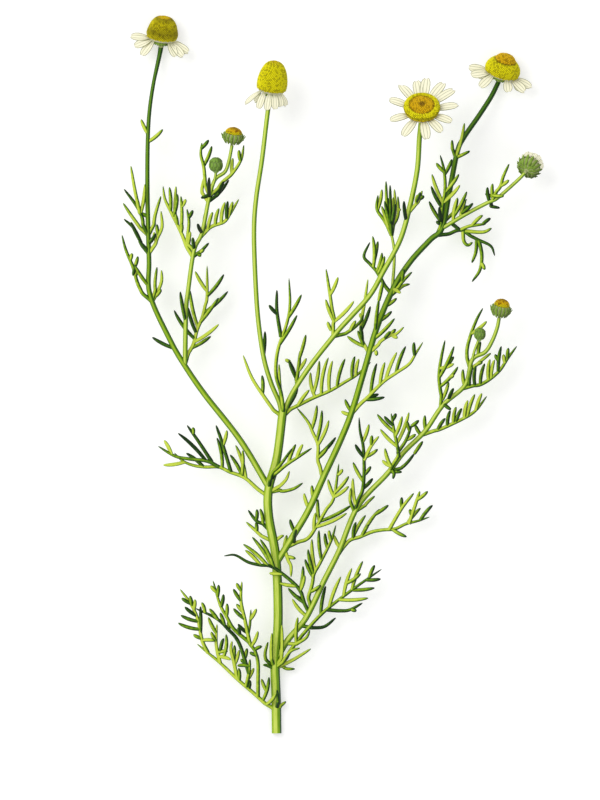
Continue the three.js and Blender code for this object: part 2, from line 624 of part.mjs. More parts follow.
    name: 'leaf_second_top', sheath: '210.5 193', ribs: [
      { lift: 2, path: '210 193, 204 168, 201 155, 202 143', tips: '209 140, 212 146' },
      { lift: -3, path: '211 193, 222 183, 232 174, 241 160, 244 145', tips: '239 150, 233 158' },
    ],
  },
  {
    name: 'leaf_fourth_low', ribs: [
      { lift: -1, path: `336 557, 349 541, 360 537, 372 532, 383 530, 395 529, 406 524, 418 521,
        430 517`, tips: '356 521, 366 515, 380 509, 388 505, 421 508, 433 505, 407 537' },
      { lift: 2, path: '389 530, 402 508, 414 493', tips: '402 497' },
      { lift: 2, path: '409 524, 416 503, 420 491', tips: '428 491, 410 509' },
    ],
  },
  {
    name: 'leaf_fourth_mid', sheath: '357 508', ribs: [
      { lift: 3, path: '357 508, 362 492, 364 475, 364 460, 363 445, 360 431, 359 417', tips: `369 424,
        355 444, 353 462, 353 478, 371 466, 373 478` },
      { lift: 1, path: '364 460, 371 446, 379 436', tips: '372 435, 378 449' },
      { lift: 1, path: '357 508, 350 499, 351 488' },
      { lift: -1, path: '358 508, 367 503, 375 496' },
    ],
  },
  {
    name: 'leaf_fourth_bushy', sheath: '392 470', ribs: [
      { lift: 3, path: '393 470, 398 456, 397 445, 394 431, 391 413', tips: `377 414, 384 416, 396 413,
        380 429, 385 448, 382 460, 402 416, 409 412` },
      { lift: 0, path: '398 452, 406 440, 412 424', tips: '419 420, 407 421, 416 434' },
      { lift: -2, path: '392 470, 406 464, 415 453', tips: '423 441' },
      { lift: -1, path: '392 470, 402 472' },
      { lift: 0, path: '391 471, 393 479' },
    ],
  },
  {
    name: 'leaf_fourth_upper', ribs: [
      { lift: -1, path: '424 432, 438 430, 452 424, 468 416, 477 409, 487 396', tips: `482 393, 475 394,
        468 400, 456 407, 450 410, 446 418` },
    ],
  },
  {
    name: 'leaf_fourth_left', ribs: [
      { lift: 2, path: '443 406, 440 388, 439 375, 441 359, 445 340', tips: `454 346, 454 357, 458 367,
        453 375, 453 388` },
    ],
  },
  {
    name: 'leaf_fourth_right', ribs: [
      { lift: -2, path: '465 386, 479 385, 490 379, 500 370, 508 358, 517 346', tips: `508 347, 501 346,
        495 354, 490 359, 485 363, 476 366` },
    ],
  },
  {
    name: 'leaf_fourth_top', sheath: '471 366', ribs: [
      { lift: -2, path: '471 366, 467 350, 471 334, 477 319, 483 308', tips: '487 321' },
      { lift: -1, path: '472 366, 482 360, 491 353' },
    ],
  },
];

const RIB_LIFTS = [0, 2, -2, 4, -4, 6, -6, 8, -8, 10, -10];
const LOBE_TILTS = [0, 12, -12, 24, -24, 36, -36, 48, -48];
const LOBE_SWING = 18; // degrees that lobes lean out of the rib's plane, up and down by turns
const RIB_SPAN = 5; // millimetres between the bends of a long rib
const SHORT_LOBE = 6; // millimetres, below which a lobe is one straight cone
const GOLDEN_TURN = 2.399963;
const ROOT_LENGTH = 4.5; // millimetres at a rib's root that may lie within the stem's gap
const SHEATH_RADIUS = 0.45;
const SHEATH_REACH = 3; // ribs that start this near a sheath grow out of it

const ribRadius = (t) => (t < 0.8 ? RIB_RADIUS - 0.12 * t : (RIB_RADIUS - 0.1) * (1 - t) * 5);
const lobeRadius = (t) => (t < 0.6 ? LOBE_RADIUS : LOBE_RADIUS * (1 - t) * 2.5);

// Height of a rib's root: that of the nearest rib already in the leaf, or of the stem
function rootHeight(x, y, curves) {
  let best = { distance: 4 / UNITS_PER_MM, z: nearestStem(x, y).at.z, onRib: false };
  for (const curve of curves) {
    for (const at of curve.getPoints(40)) {
      const distance = at.distanceTo(onPlan(x, y, at.z));
      if (distance < best.distance) best = { distance, z: at.z, onRib: true };
    }
  }
  return best;
}

// The ring of a sheath: the stem's axis there and how far from it the ring runs
function ringAt(sheath) {
  const { at, tangent, radius } = nearestStem(...points(sheath)[0]);
  return { at, tangent, radius: radius + GAP + SHEATH_RADIUS + 0.2 };
}

// A rib's curve. Its root stands off the stem's axis: on the sheath's ring, or just clear of
// the stem where the leaf has no sheath, or on another rib of the leaf.
function ribCurve(path, rise, z0, ring, onRib) {
  const plan = points(path);
  const last = plan.length - 1;
  const route = plan.map(([x, y], i) => {
    const rest = 1 - i / last;
    return onPlan(x, y, z0 + rise * (1 - rest * rest));
  });
  if (ring && route[0].distanceTo(ring.at) < SHEATH_REACH) {
    const outward = route[1].clone().sub(ring.at);
    outward.addScaledVector(ring.tangent, -outward.dot(ring.tangent)).normalize();
    route[0].copy(ring.at).addScaledVector(outward, ring.radius);
  } else if (!onRib) {
    const { at, radius } = nearestStem(...plan[0]);
    const outward = route[1].clone().sub(at).normalize();
    route[0].copy(at).addScaledVector(outward, radius + GAP);
  }
  return new THREE.CatmullRomCurve3(route, false, 'catmullrom');
}

// The curve of a lobe from the place on its rib where it leaves at LOBE_ANGLE
function lobeCurve(rib, tipX, tipY, tilt) {
  let best = { cost: Infinity };
  for (let i = 1; i < 30; i += 1) {
    const root = rib.getPoint(i / 30);
    const tangent = rib.getTangent(i / 30).setZ(0).normalize();
    const chord = onPlan(tipX, tipY, root.z).sub(root);
    const cost = Math.abs(chord.angleTo(tangent) - LOBE_ANGLE) + chord.length() * 0.03;
    if (cost < best.cost) best = { cost, root, tangent, chord };
  }
  return bowedCurve(best.root, best.tangent, best.chord, tilt);
}

// A lobe's curve from its root along a chord, bowed towards the tangent of what it grows on
function bowedCurve(root, tangent, chord, tilt) {
  const reach = chord.length();
  const tip = root.clone().add(chord);
  tip.z += reach * Math.tan(THREE.MathUtils.degToRad(tilt));
  const bulge = chord.clone().multiplyScalar(tangent.dot(chord) / chord.lengthSq()).sub(tangent);
  const middle = root.clone().lerp(tip, 0.5).addScaledVector(bulge, reach * 0.14);
  return new THREE.QuadraticBezierCurve3(root, middle, tip);
}

// First variant of a curve that stands clear of its own leaf and of every other piece, or else
// of every other piece only
function clearCurve(variants, radiusAt, owner, skip) {
  for (const ownReach of [3, Infinity]) {
    for (const curve of variants) {
      const length = curve.getLength();
      const from = Math.min(0.9, skip / length);
      const balls = ballsAlong(curve, radiusAt, from, 1, Math.ceil(length / 0.7));
      if (isClear(balls, owner, ownReach)) {
        keepPlace(balls, owner);
        return curve;
      }
    }
  }
  return null;
}

function blade(curve, radiusAt, sides, steps) {
  return bend(new THREE.ConeGeometry(1, 1, sides, steps), curve, radiusAt, UP, FLATTEN);
}

for (const { name, sheath } of LEAVES) {
  if (sheath) {
    const { at, tangent, radius } = ringAt(sheath);
    const hoop = new THREE.Matrix4().lookAt(new THREE.Vector3(), tangent, UP).setPosition(at);
    const balls = [0, 1, 2, 3, 4, 5, 6, 7].map((i) => {
      const angle = (i * Math.PI) / 4;
      const on = new THREE.Vector3(Math.cos(angle) * radius, Math.sin(angle) * radius, 0);
      return { at: on.applyMatrix4(hoop), radius: SHEATH_RADIUS };
    });
    keepPlace(balls, name);
  }
}

function ribSpans(rib) {
  const spans = Math.round(rib.getLength() / RIB_SPAN);
  return Math.max(2, Math.min(rib.points.length - 1, spans));
}

let turn = 0;
const leafRibs = LEAVES.map(({ name, sheath, ribs }) => {
  const ring = sheath && ringAt(sheath);
  const curves = [];
  for (const { path, lift } of ribs) {
    const [x, y] = points(path)[0];
    const { z, onRib } = rootHeight(x, y, curves);
    const variants = RIB_LIFTS.map((change) => ribCurve(path, lift + change, z, ring, onRib));
    const curve = clearCurve(variants, ribRadius, name, ROOT_LENGTH);
    curves.push(curve ?? variants[0]);
  }
  return curves;
});

LEAVES.forEach(({ name, sheath, ribs }, i) => {
  const solids = [];
  if (sheath) {
    const { at, tangent, radius } = ringAt(sheath);
    const ring = new THREE.TorusGeometry(radius, SHEATH_RADIUS, 3, 6);
    ring.rotateX(-Math.PI / 2);
    solids.push(solidFrom(stand(ring, at, tangent)));
  }
  ribs.forEach(({ tips }, k) => {
    const rib = leafRibs[i][k];
    solids.push(blade(rib, ribRadius, 3, ribSpans(rib)));
    for (const [x, y] of tips ? points(tips) : []) {
      turn += 1;
      const lean = LOBE_SWING * Math.sin(turn * GOLDEN_TURN);
      const variants = LOBE_TILTS.map((tilt) => lobeCurve(rib, x, y, lean + tilt));
      const lobe = clearCurve(variants, lobeRadius, name, 1.2);
      if (lobe) solids.push(blade(lobe, lobeRadius, 3, lobe.getLength() > SHORT_LOBE ? 2 : 1));
    }
  });
  const leaf = aboveSurface(fuse(solids).subtract(stemsWithGap));
  addPiece(name, leaf, LEAF_GREEN, 0.6);
});

// Lone lobes that grow straight from a stem, each from 'x y' on the stem to the 'x y' of its tip
const STEM_LOBES = `148 135 141 119, 149 143 163 129, 171 351 152 337, 267 355 265 331, 352 411 345 399,
  350 413 341 411, 387 306 397 298, 382 322 392 311, 425 431 425 415, 422 434 415 424, 465 385 463 369,
  340 548 334 535, 306 508 304 493, 314 500 312 485, 296 534 290 519, 281 550 287 535`;

const stemLobes = points(STEM_LOBES).map(([x, y, tipX, tipY]) => {
  const { at, tangent, radius } = nearestStem(x, y);
  const chord = onPlan(tipX, tipY, at.z).sub(at);
  const variants = LOBE_TILTS.map((tilt) => bowedCurve(at, tangent, chord, tilt));
  return clearCurve(variants, lobeRadius, 'stem', radius + 1);
});
const lobeSolids = stemLobes.filter(Boolean).map((lobe) => blade(lobe, lobeRadius, 3, 1));
const stemParts = stems.map((stem) => stemSolid(stem, 0));
addPiece('stem', aboveSurface(fuse([...stemParts, ...lobeSolids])), STEM_GREEN, 0.6);

export default plant;
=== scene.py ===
"""A cut flowering stem of chamomile, laid down on a pale surface and seen from above."""
import math
import random

import bmesh
import bpy
import numpy as np
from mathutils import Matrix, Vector


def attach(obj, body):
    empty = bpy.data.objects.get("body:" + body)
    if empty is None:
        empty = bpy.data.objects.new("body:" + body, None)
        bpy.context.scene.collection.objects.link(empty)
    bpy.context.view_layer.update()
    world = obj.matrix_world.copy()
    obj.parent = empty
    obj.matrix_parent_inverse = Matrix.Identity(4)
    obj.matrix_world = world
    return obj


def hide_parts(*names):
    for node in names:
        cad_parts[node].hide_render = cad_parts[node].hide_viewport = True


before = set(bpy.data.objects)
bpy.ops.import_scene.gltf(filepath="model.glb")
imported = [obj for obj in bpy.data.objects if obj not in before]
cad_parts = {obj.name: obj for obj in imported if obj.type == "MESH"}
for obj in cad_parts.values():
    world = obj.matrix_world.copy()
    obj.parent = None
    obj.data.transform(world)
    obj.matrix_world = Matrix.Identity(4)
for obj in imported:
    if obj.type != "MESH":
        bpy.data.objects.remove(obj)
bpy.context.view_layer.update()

# ---------------------------------------------------------------- surface, light and camera
# The stem lies on a plain pale table under soft light that comes from the upper left. The camera
# stands high above it, with a long lens, so that the plant is seen as on a herbarium sheet.
MM = 0.001
PLAN_ORIGIN = (332.0, 374.0)  # plan point over the part's origin
UNITS_PER_MM = 3.0
VIEW_CENTRE = (300.0, 400.0)
VIEW_LONG_SIDE = 800 / UNITS_PER_MM * MM
LENS = 600.0


def on_plan(x, y, z):
    """A plan point and a height in millimetres, as millimetres in the part's frame."""
    return np.array(((x - PLAN_ORIGIN[0]) / UNITS_PER_MM, (PLAN_ORIGIN[1] - y) / UNITS_PER_MM, z))


def new_material(name, roughness):
    material = bpy.data.materials.new(name)
    material.use_nodes = True
    shader = material.node_tree.nodes["Principled BSDF"]
    shader.inputs["Roughness"].default_value = roughness
    shader.inputs["Specular IOR Level"].default_value = 0.18
    return material, material.node_tree, shader


def add_light(name, at, size, power, colour):
    data = bpy.data.lights.new(name, "AREA")
    data.shape = "DISK"
    data.size = size
    data.energy = power
    data.color = colour
    lamp = bpy.data.objects.new(name, data)
    lamp.location = at
    lamp.rotation_mode = "QUATERNION"
    lamp.rotation_quaternion = (-Vector(at)).to_track_quat("-Z", "Y")
    bpy.context.scene.collection.objects.link(lamp)


bpy.ops.mesh.primitive_plane_add(size=6, location=(0, 0, -0.00002))
table = bpy.context.object
table.name = "table_top"
paper, tree, shader = new_material("pale_table", 0.95)
shader.inputs["Base Color"].default_value = (0.7, 0.7, 0.695, 1)
shader.inputs["Specular IOR Level"].default_value = 0.0
shader.inputs["Emission Color"].default_value = (1, 1, 1, 1)
shader.inputs["Emission Strength"].default_value = 0.42
table.data.materials.append(paper)

world = bpy.data.worlds.new("soft_room")
world.use_nodes = True
world.node_tree.nodes["Background"].inputs["Color"].default_value = (1, 1, 1, 1)
world.node_tree.nodes["Background"].inputs["Strength"].default_value = 0.68
bpy.context.scene.world = world
bpy.context.scene.view_settings.view_transform = "Standard"
add_light("window", (-0.75, 0.55, 1.15), 1.0, 8.5, (1.0, 0.99, 0.96))
add_light("room", (0.9, -0.6, 1.3), 1.2, 3.0, (0.96, 0.98, 1.0))

lens = bpy.data.cameras.new("camera")
lens.lens = LENS
lens.sensor_width = 36
distance = VIEW_LONG_SIDE * LENS / 36
camera = bpy.data.objects.new("camera", lens)
centre = on_plan(*VIEW_CENTRE, 10) * MM
camera.location = (centre[0], centre[1], centre[2] + distance)
lens.clip_end = 20
bpy.context.scene.collection.objects.link(camera)
bpy.context.scene.camera = camera

# ---------------------------------------------------------------- stems
# The main stem and its branches are round, solid and finely ribbed lengthwise, yellow-green where
# the light falls and dark green underneath; this light and shade is painted into their colour.
# Each branch grows out of the stem below it, and is a ribbed round section carried along its path.
GAP = 0.3  # millimetres between pieces of the plant
STEM_RIBS = 9
STEM_RIB_DEPTH = 0.035
HEAD_SHADE = -0.36  # painted shade: how much darker those stalks are at their heads
SHADED_STALKS = (1, 6)  # the stalks of the left and the right head, by their place in STEMS
STEMS = (
    (3.2, 2.9, 0,
     "276.5 734 1.25, 276 700 1.3, 275 661 3.4, 278 620 4.8, 276 560 6.4, 268.5 515 7.7, "
     "268.8 488 8.5, 277 457 9.7, 283 409 11"),
    (2.1, 1.1, 0.7,
     "269 488 8.5, 240 440 9, 205 395 9.6, 185 366 9.8, 170 340 10, 150 295 10.3, "
     "149 260 10.4, 147.5 200 9.8, 147.5 150 9, 149 115 7.6, 153 85 5.8, 159 56 3.4, 161 44 2.4"),
    (1.6, 1.1, 0,
     "185 364 9.8, 186 312 12, 188 292 12.6, 194 251 13.4, 202 233 13.8, 209 199 14.4, "
     "215 180 14.8, 225 172 15, 229 161 15, 232 146 15"),
    (0.9, 0.9, 0,
     "213 186 14.8, 215 179 15.2, 216 172 15.5"),
    (1.6, 1.5, 0,
     "281.5 414 10.8, 279 402 11.6, 271 383 12.4, 264 359 13.2, 259 327 14, 256 291 14.6, "
     "254 235 15.4, 256 200 15.8, 262 160 15.8, 267 118 14.2, 270.5 92 12.6"),
    (1.7, 1.7, 0,
     "284 414 10.8, 288 402 11.4, 296 387 12, 313 362 12.8, 337 332 13.6, 351 316.5 14.2, "
     "370 295 15, 383 272 15.8, 400 240 17, 410 205 18.2, 417 170 19.2, 419 140 20.2, "
     "421 120 22.6, 421.5 112.5 24.6"),
    (2.3, 1.6, 0,
     "277 562 6.2, 290 541 7.6, 308 511 8.6, 324 476 9.4, 341 439 9.9, 352 411 10.2, "
     "364 371 10.6, 377 327 11, 393 289 11.2, 410 262 11, 430 240 10.6, 442 228 10.2, "
     "449 194 9.6, 457 153 8.6, 463.5 138 8, 480 114 6.2, 491.5 96 4.2, 499.5 80 2.6"),
    (1.1, 0.9, 0,
     "392 291 11.2, 394 266 10.4, 394 249 9.8, 391 232 9.4"),
    (1.4, 1.1, 0,
     "441 229 10.2, 466 214 11, 487 203 11.8, 496 199 12, 508 189 12.4, 521 177 12.7, "
     "526 171 12.4"),
    (2.1, 1.2, 0,
     "275 662 3.4, 288 640 4.4, 306 618 5.4, 324 581 6.4, 339 551 7.2, 358 506 8.2, 387 474 9, "
     "404 452 9.6, 425 431 10.2, 443 405 10.8, 465 385 11.4, 472 360 11.8, 485 352 12, "
     "492 341 12.2, 497 328 12.4, 499 318 12.5"),
    (0.9, 0.9, 0,
     "471 366 11.7, 474 352 12.6, 478.5 340 13"),
)


def points(text):
    return [tuple(float(value) for value in point.split()) for point in text.split(",")]


def smooth_path(route):
    """A smooth curve through the points of a route, as a function from 0..1 to places."""
    route = np.array(route, float)
    knots = np.vstack((2 * route[0] - route[1], route, 2 * route[-1] - route[-2]))
    last = len(route) - 1

    def path(t):
        along = np.clip(np.asarray(t, float), 0, 1) * last
        i = np.minimum(along.astype(int), last - 1)
        w = (along - i)[..., None]
        before, start, end, after = knots[i], knots[i + 1], knots[i + 2], knots[i + 3]
        leave, arrive = (end - before) / 2, (after - start) / 2
        cubic = 2 * (start - end) + leave + arrive
        square = 3 * (end - start) - 2 * leave - arrive
        return cubic * w**3 + square * w**2 + leave * w + start

    return path


def unit(vector):
    return vector / np.linalg.norm(vector)


def heading(path, t):
    return unit(path(min(1, t + 1e-4)) - path(max(0, t - 1e-4)))


def path_length(path):
    steps = path(np.linspace(0, 1, 201))
    return float(np.linalg.norm(np.diff(steps, axis=0), axis=1).sum())


def sample(path, step, first=None):
    """Points along a path about `step` millimetres apart, and how far along each is, 0..1."""
    t = np.linspace(0, 1, max(6, int(path_length(path) / step)) + 1)
    places = path(t)
    if first is not None:
        places = np.vstack((first, places))
        t = np.append(0, t)
    return places, t


def paths_object(name, strands):
    """A curve object with one poly spline for each (places, radii, closed) in millimetres."""
    data = bpy.data.curves.new(name, "CURVE")
    data.dimensions = "3D"
    for places, radii, closed in strands:
        spline = data.splines.new("POLY")
        spline.points.add(len(places) - 1)
        co = np.ones((len(places), 4))
        co[:, :3] = np.asarray(places) * MM
        spline.points.foreach_set("co", co.ravel())
        spline.points.foreach_set("radius", np.asarray(radii, float) * MM)
        spline.use_cyclic_u = closed
    obj = bpy.data.objects.new(name, data)
    bpy.context.scene.collection.objects.link(obj)
    return obj


def maths(tree):
    """A shorthand that adds a maths node to a tree and gives its result."""

    def calc(operation, a, b=0.0, c=0.0):
        node = tree.nodes.new("ShaderNodeMath")
        node.operation = operation
        for socket, value in zip(node.inputs, (a, b, c)):
            if isinstance(value, (int, float)):
                socket.default_value = value
            else:
                tree.links.new(value, socket)
        return node.outputs[0]

    return calc


def read_value(tree, name):
    """The value of that name that each place of a piece carries."""
    node = tree.nodes.new("ShaderNodeAttribute")
    node.attribute_name = name
    return node.outputs["Fac"]


def colour_ramp(tree, stops, value):
    """The colour that a value from 0 to 1 has among stops of (position, colour)."""
    ramp = tree.nodes.new("ShaderNodeValToRGB")
    for position, _ in stops[1:-1]:
        ramp.color_ramp.elements.new(position)
    for element, (position, colour) in zip(ramp.color_ramp.elements, stops):
        element.position = position
        element.color = (*colour, 1)
    tree.links.new(value, ramp.inputs["Fac"])
    return ramp.outputs["Color"]


def section_tree():
    """Nodes that carry a ribbed or channelled round section along every path of an object."""
    tree = bpy.data.node_groups.new("section_along_paths", "GeometryNodeTree")
    inputs = (
        ("Geometry", "NodeSocketGeometry", None), ("Sides", "NodeSocketInt", 24),
        ("Ribs", "NodeSocketInt", 9), ("Rib depth", "NodeSocketFloat", 0.0),
        ("Flatness", "NodeSocketFloat", 1.0), ("Channel", "NodeSocketFloat", 0.0),
        ("Seed", "NodeSocketInt", 3), ("Material", "NodeSocketMaterial", None),
    )
    for name, kind, value in inputs:
        socket = tree.interface.new_socket(name, in_out="INPUT", socket_type=kind)
        if value is not None:
            socket.default_value = value
    tree.interface.new_socket("Geometry", in_out="OUTPUT", socket_type="NodeSocketGeometry")
    given = tree.nodes.new("NodeGroupInput")
    result = tree.nodes.new("NodeGroupOutput")
    link = tree.links.new
    calc = maths(tree)

    def add(kind, **settings):
        node = tree.nodes.new(kind)
        for key, value in settings.items():
            setattr(node, key, value)
        return node

    def keep(geometry, name, value, kind, domain):
        node = add("GeometryNodeStoreNamedAttribute", data_type=kind, domain=domain)
        node.inputs["Name"].default_value = name
        link(geometry, node.inputs["Geometry"])
        link(value, node.inputs["Value"])
        return node.outputs[0]

    circle = add("GeometryNodeCurvePrimitiveCircle")
    link(given.outputs["Sides"], circle.inputs["Resolution"])
    circle.inputs["Radius"].default_value = 1.0
    place = add("ShaderNodeSeparateXYZ")
    link(add("GeometryNodeInputPosition").outputs[0], place.inputs[0])
    turn = calc("ARCTAN2", place.outputs[1], place.outputs[0])
    wave = calc("COSINE", calc("MULTIPLY", turn, given.outputs["Ribs"]))
    swell = calc("ADD", 1.0, calc("MULTIPLY", wave, given.outputs["Rib depth"]))
    middle = calc("EXPONENT", calc("MULTIPLY", calc("POWER", place.outputs[0], 2.0), -7.0))
    dip = calc("MULTIPLY", calc("MULTIPLY", middle, calc("MAXIMUM", place.outputs[1], 0.0)),
               given.outputs["Channel"])
    height = calc("SUBTRACT", calc("MULTIPLY", calc("MULTIPLY", place.outputs[1], swell),
                                   given.outputs["Flatness"]), dip)
    section = add("ShaderNodeCombineXYZ")
    link(calc("MULTIPLY", place.outputs[0], swell), section.inputs[0])
    link(height, section.inputs[1])
    around = keep(circle.outputs[0], "around", add("GeometryNodeInputPosition").outputs[0],
                  "FLOAT_VECTOR", "POINT")
    shaped = add("GeometryNodeSetPosition")
    link(around, shaped.inputs["Geometry"])
    link(section.outputs[0], shaped.inputs["Position"])

    upright = add("GeometryNodeSetCurveNormal", mode="Z_UP")
    link(given.outputs["Geometry"], upright.inputs["Curve"])
    step = add("GeometryNodeSplineParameter")
    chance = add("FunctionNodeRandomValue", data_type="FLOAT")
    link(given.outputs["Seed"], chance.inputs["Seed"])
    paths = keep(upright.outputs[0], "along", step.outputs["Length"], "FLOAT", "POINT")
    paths = keep(paths, "reach", step.outputs["Factor"], "FLOAT", "POINT")
    paths = keep(paths, "tone", chance.outputs["Value"], "FLOAT", "CURVE")
    swept = add("GeometryNodeCurveToMesh")
    link(paths, swept.inputs["Curve"])
    link(shaped.outputs[0], swept.inputs["Profile Curve"])
    link(add("GeometryNodeInputRadius").outputs[0], swept.inputs["Scale"])
    swept.inputs["Fill Caps"].default_value = True
    smooth = add("GeometryNodeSetShadeSmooth")
    real = add("GeometryNodeRealizeInstances")
    finish = add("GeometryNodeSetMaterial")
    link(swept.outputs[0], smooth.inputs[0])
    link(smooth.outputs[0], real.inputs[0])
    link(real.outputs[0], finish.inputs[0])
    link(given.outputs["Material"], finish.inputs["Material"])
    link(finish.outputs[0], result.inputs[0])
    return tree


def grown(obj, tree, values):
    """The plain mesh that a tree makes of an object, which is then removed."""
    modifier = obj.modifiers.new("grown", "NODES")
    modifier.node_group = tree
    for item in tree.interface.items_tree:
        if item.in_out == "INPUT" and item.name in values:
            modifier[item.identifier] = values[item.name]
    seen = obj.evaluated_get(bpy.context.evaluated_depsgraph_get())
    mesh = bpy.data.meshes.new_from_object(seen)
    name = obj.name
    bpy.data.objects.remove(obj)
    mesh.name = name
    piece = bpy.data.objects.new(name, mesh)
    bpy.context.scene.collection.objects.link(piece)
    return piece


def press_flat(mesh):
    """The lowest places of the plant are pressed flat where they lie on the surface."""
    places = np.empty(len(mesh.vertices) * 3, np.float32)
    mesh.vertices.foreach_get("co", places)
    places[2::3] = np.maximum(places[2::3], 0)
    mesh.vertices.foreach_set("co", places)
    mesh.update()


def hand_over(piece, slot, *nodes):
    """The piece takes the place of those nodes of the part; the slot is not used."""
    press_flat(piece.data)
    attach(piece, "root")
    if nodes:
        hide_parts(*nodes)


def stem_radius(t, root_width, end_width, neck):
    """Half the width of a stem at t from 0 to 1; under a head it may widen again to a neck."""
    return (root_width + (end_width - root_width) * t + neck * np.clip((t - 0.85) / 0.15, 0, 1)) / 2


def folded_direction(tree):
    """The way a place faces for painted light and shade, with the underside taken as the upper side, so
    that both are green.
    """
    nodes, link = tree.nodes, tree.links.new
    faces = nodes.new("ShaderNodeSeparateXYZ")
    link(nodes.new("ShaderNodeNewGeometry").outputs["Normal"], faces.inputs[0])
    upper = nodes.new("ShaderNodeMath")
    upper.operation = "ABSOLUTE"
    link(faces.outputs["Z"], upper.inputs[0])
    folded = nodes.new("ShaderNodeCombineXYZ")
    link(faces.outputs["X"], folded.inputs["X"])
    link(faces.outputs["Y"], folded.inputs["Y"])
    link(upper.outputs[0], folded.inputs["Z"])
    return folded.outputs[0]


def stem_skin(name, shade):
    """A stem's ribbed skin with light and shade painted in by the way it faces; `shade` below 0 paints it
    darker from its foot to its head.
    """
    material, tree, shader = new_material(name, 0.5)
    nodes, link = tree.nodes, tree.links.new
    calc = maths(tree)
    around = nodes.new("ShaderNodeAttribute")
    around.attribute_name = "around"
    stretched = nodes.new("ShaderNodeVectorMath")
    stretched.operation = "MULTIPLY_ADD"
    stretched.inputs[1].default_value = (7.0, 7.0, 0.0)
    upwards = nodes.new("ShaderNodeCombineXYZ")
    link(calc("MULTIPLY", read_value(tree, "along"), 260.0), upwards.inputs["Z"])
    link(around.outputs["Vector"], stretched.inputs[0])
    link(upwards.outputs[0], stretched.inputs[2])
    streaks = nodes.new("ShaderNodeTexNoise")
    streaks.inputs["Scale"].default_value = 1.0
    streaks.inputs["Detail"].default_value = 4.0
    link(stretched.outputs[0], streaks.inputs["Vector"])
    # Painted light and shade: lighter where the skin faces the upper left, darker where it faces away.
    side = nodes.new("ShaderNodeVectorMath")
    side.operation = "DOT_PRODUCT"
    side.inputs[1].default_value = (-0.24, 0.09, 0.77)
    link(folded_direction(tree), side.inputs[0])
    light = calc("MULTIPLY_ADD", streaks.outputs["Fac"], 0.3, side.outputs["Value"])
    # Painted shade that grows from the foot of the stalk towards its head.
    light = calc("MULTIPLY_ADD", read_value(tree, "reach"), shade, light)
    light = calc("ADD", light, 0.025)
    stops = ((0.4, (0.008, 0.045, 0.002)), (0.58, (0.045, 0.15, 0.003)), (0.74, (0.17, 0.33, 0.008)),
             (0.86, (0.36, 0.53, 0.02)), (0.99, (0.62, 0.74, 0.13)))
    link(colour_ramp(tree, stops, light), shader.inputs["Base Color"])
    bump = nodes.new("ShaderNodeBump")
    bump.inputs["Strength"].default_value = 0.35
    bump.inputs["Distance"].default_value = 0.0002
    link(streaks.outputs["Fac"], bump.inputs["Height"])
    link(bump.outputs["Normal"], shader.inputs["Normal"])
    return material


section = section_tree()
stems = []
lit_strands = []
shaded_strands = []
for number, (*widths, text) in enumerate(STEMS):
    path = smooth_path([on_plan(*point) for point in points(text)])
    stems.append((path, path_length(path), widths))
    places, t = sample(path, 1.0)
    strands = shaded_strands if number in SHADED_STALKS else lit_strands
    strands.append((places, stem_radius(t, *widths), False))
# The stalks of the left and the right head get a copy of the skin with painted shade towards their heads.
stem = grown(paths_object("lit_stems", lit_strands), section,
             {"Sides": 36, "Ribs": STEM_RIBS, "Rib depth": STEM_RIB_DEPTH,
              "Material": stem_skin("stem_skin", 0.0)})
hand_over(stem, "stem", "stem")
shaded_stalks = grown(paths_object("shaded_stalks", shaded_strands), section,
                      {"Sides": 36, "Ribs": STEM_RIBS, "Rib depth": STEM_RIB_DEPTH,
                       "Material": stem_skin("shaded_stem_skin", HEAD_SHADE)})
hand_over(shaded_stalks, "stem")

# ---------------------------------------------------------------- domes of the flower heads
# Each open head has a raised dome packed with tiny tubular florets in spirals, yellow below and
# orange to brown where they have opened. A lathed core carries the florets, one on each seat of
# a golden-angle spiral.
HEADS = {
    "head_left": {
        "at": (161.6, 37, 4.35), "axis": (0.13, 0.95, 0.3), "plate": 3.7, "ray": 2.8, "twist": 0.75,
        "disc": ((4.8, 0), (5.1, 1.4), (4.7, 3.2), (3.9, 5.2), (2.4, 6.7), (0, 7.2)),
        "rays": "130 36 1.5, 133.5 46.5 2.6, 141 56 2.2, 176 57 2.4, 183.5 57 2.2, 189 52.5 1, "
                "139 42 -3, 184 50 -3.2",
    },
    "head_tall": {
        "at": (271.4, 89, 12.2), "axis": (0.13, 0.94, 0.3), "plate": 3.7, "ray": 2.6, "twist": 0.2,
        "disc": ((4.7, 0), (4.9, 1.5), (4.7, 3.8), (3.9, 6.6), (2.4, 8.8), (0, 9.7)),
        "rays": "245 105 0.5, 258.5 109.5 1.4, 267 111.5 2.6, 275 110.5 2.8, 281 107.5 1.6, "
                "286 106.5 -0.6, 255 103 -2.4, 277 106 -3.6",
    },
    "head_facing": {
        "at": (421.4, 110.7, 25.6), "axis": (0, 0.678, 0.735), "plate": 4.9, "ray": 3.3,
        "twist": 0,
        "disc": ((5.5, 0), (5.9, 0.9), (5.85, 1.7), (5.3, 2.4), (4.6, 2.5), (4.1, 2.2), (2.4, 2.9),
                 (0, 3.2)),
        "rays": "416 80.7 -9.7, 426.5 78 -10.5, 444 83 -9, 454.2 90.3 -6.8, 458.5 106.6 -1.8, "
                "451.5 123.6 3.5, 441.5 134.8 6.9, 426 141.8 9.1, 402 138.9 8.2, "
                "388.6 122.6 3.2, 388.4 100.5 -3.6, 400 85.5 -8.2",
    },
    "head_right": {
        "at": (502, 72, 4.72), "axis": (0.26, 0.87, 0.42), "plate": 4.2, "ray": 3, "twist": 0.75,
        "disc": ((5.6, 0), (5.8, 1.2), (5.4, 2.6), (4.4, 3.9), (3.5, 4.5), (3.2, 5.1), (2.2, 6.1),
                 (0, 6.6)),
        "rays": "468 67 1, 470 75 2.4, 479.5 87.5 2.8, 508.5 92.5 2.6, 525.5 92 2.2, "
                "532.5 87.5 0.6, 478 76 -3.2, 521 90 -3.4",
    },
}
GOLDEN_ANGLE = math.pi * (3 - math.sqrt(5))
FLORET_PITCH = 0.52
FLORET_SIZE = (0.31, 0.31, 0.36)


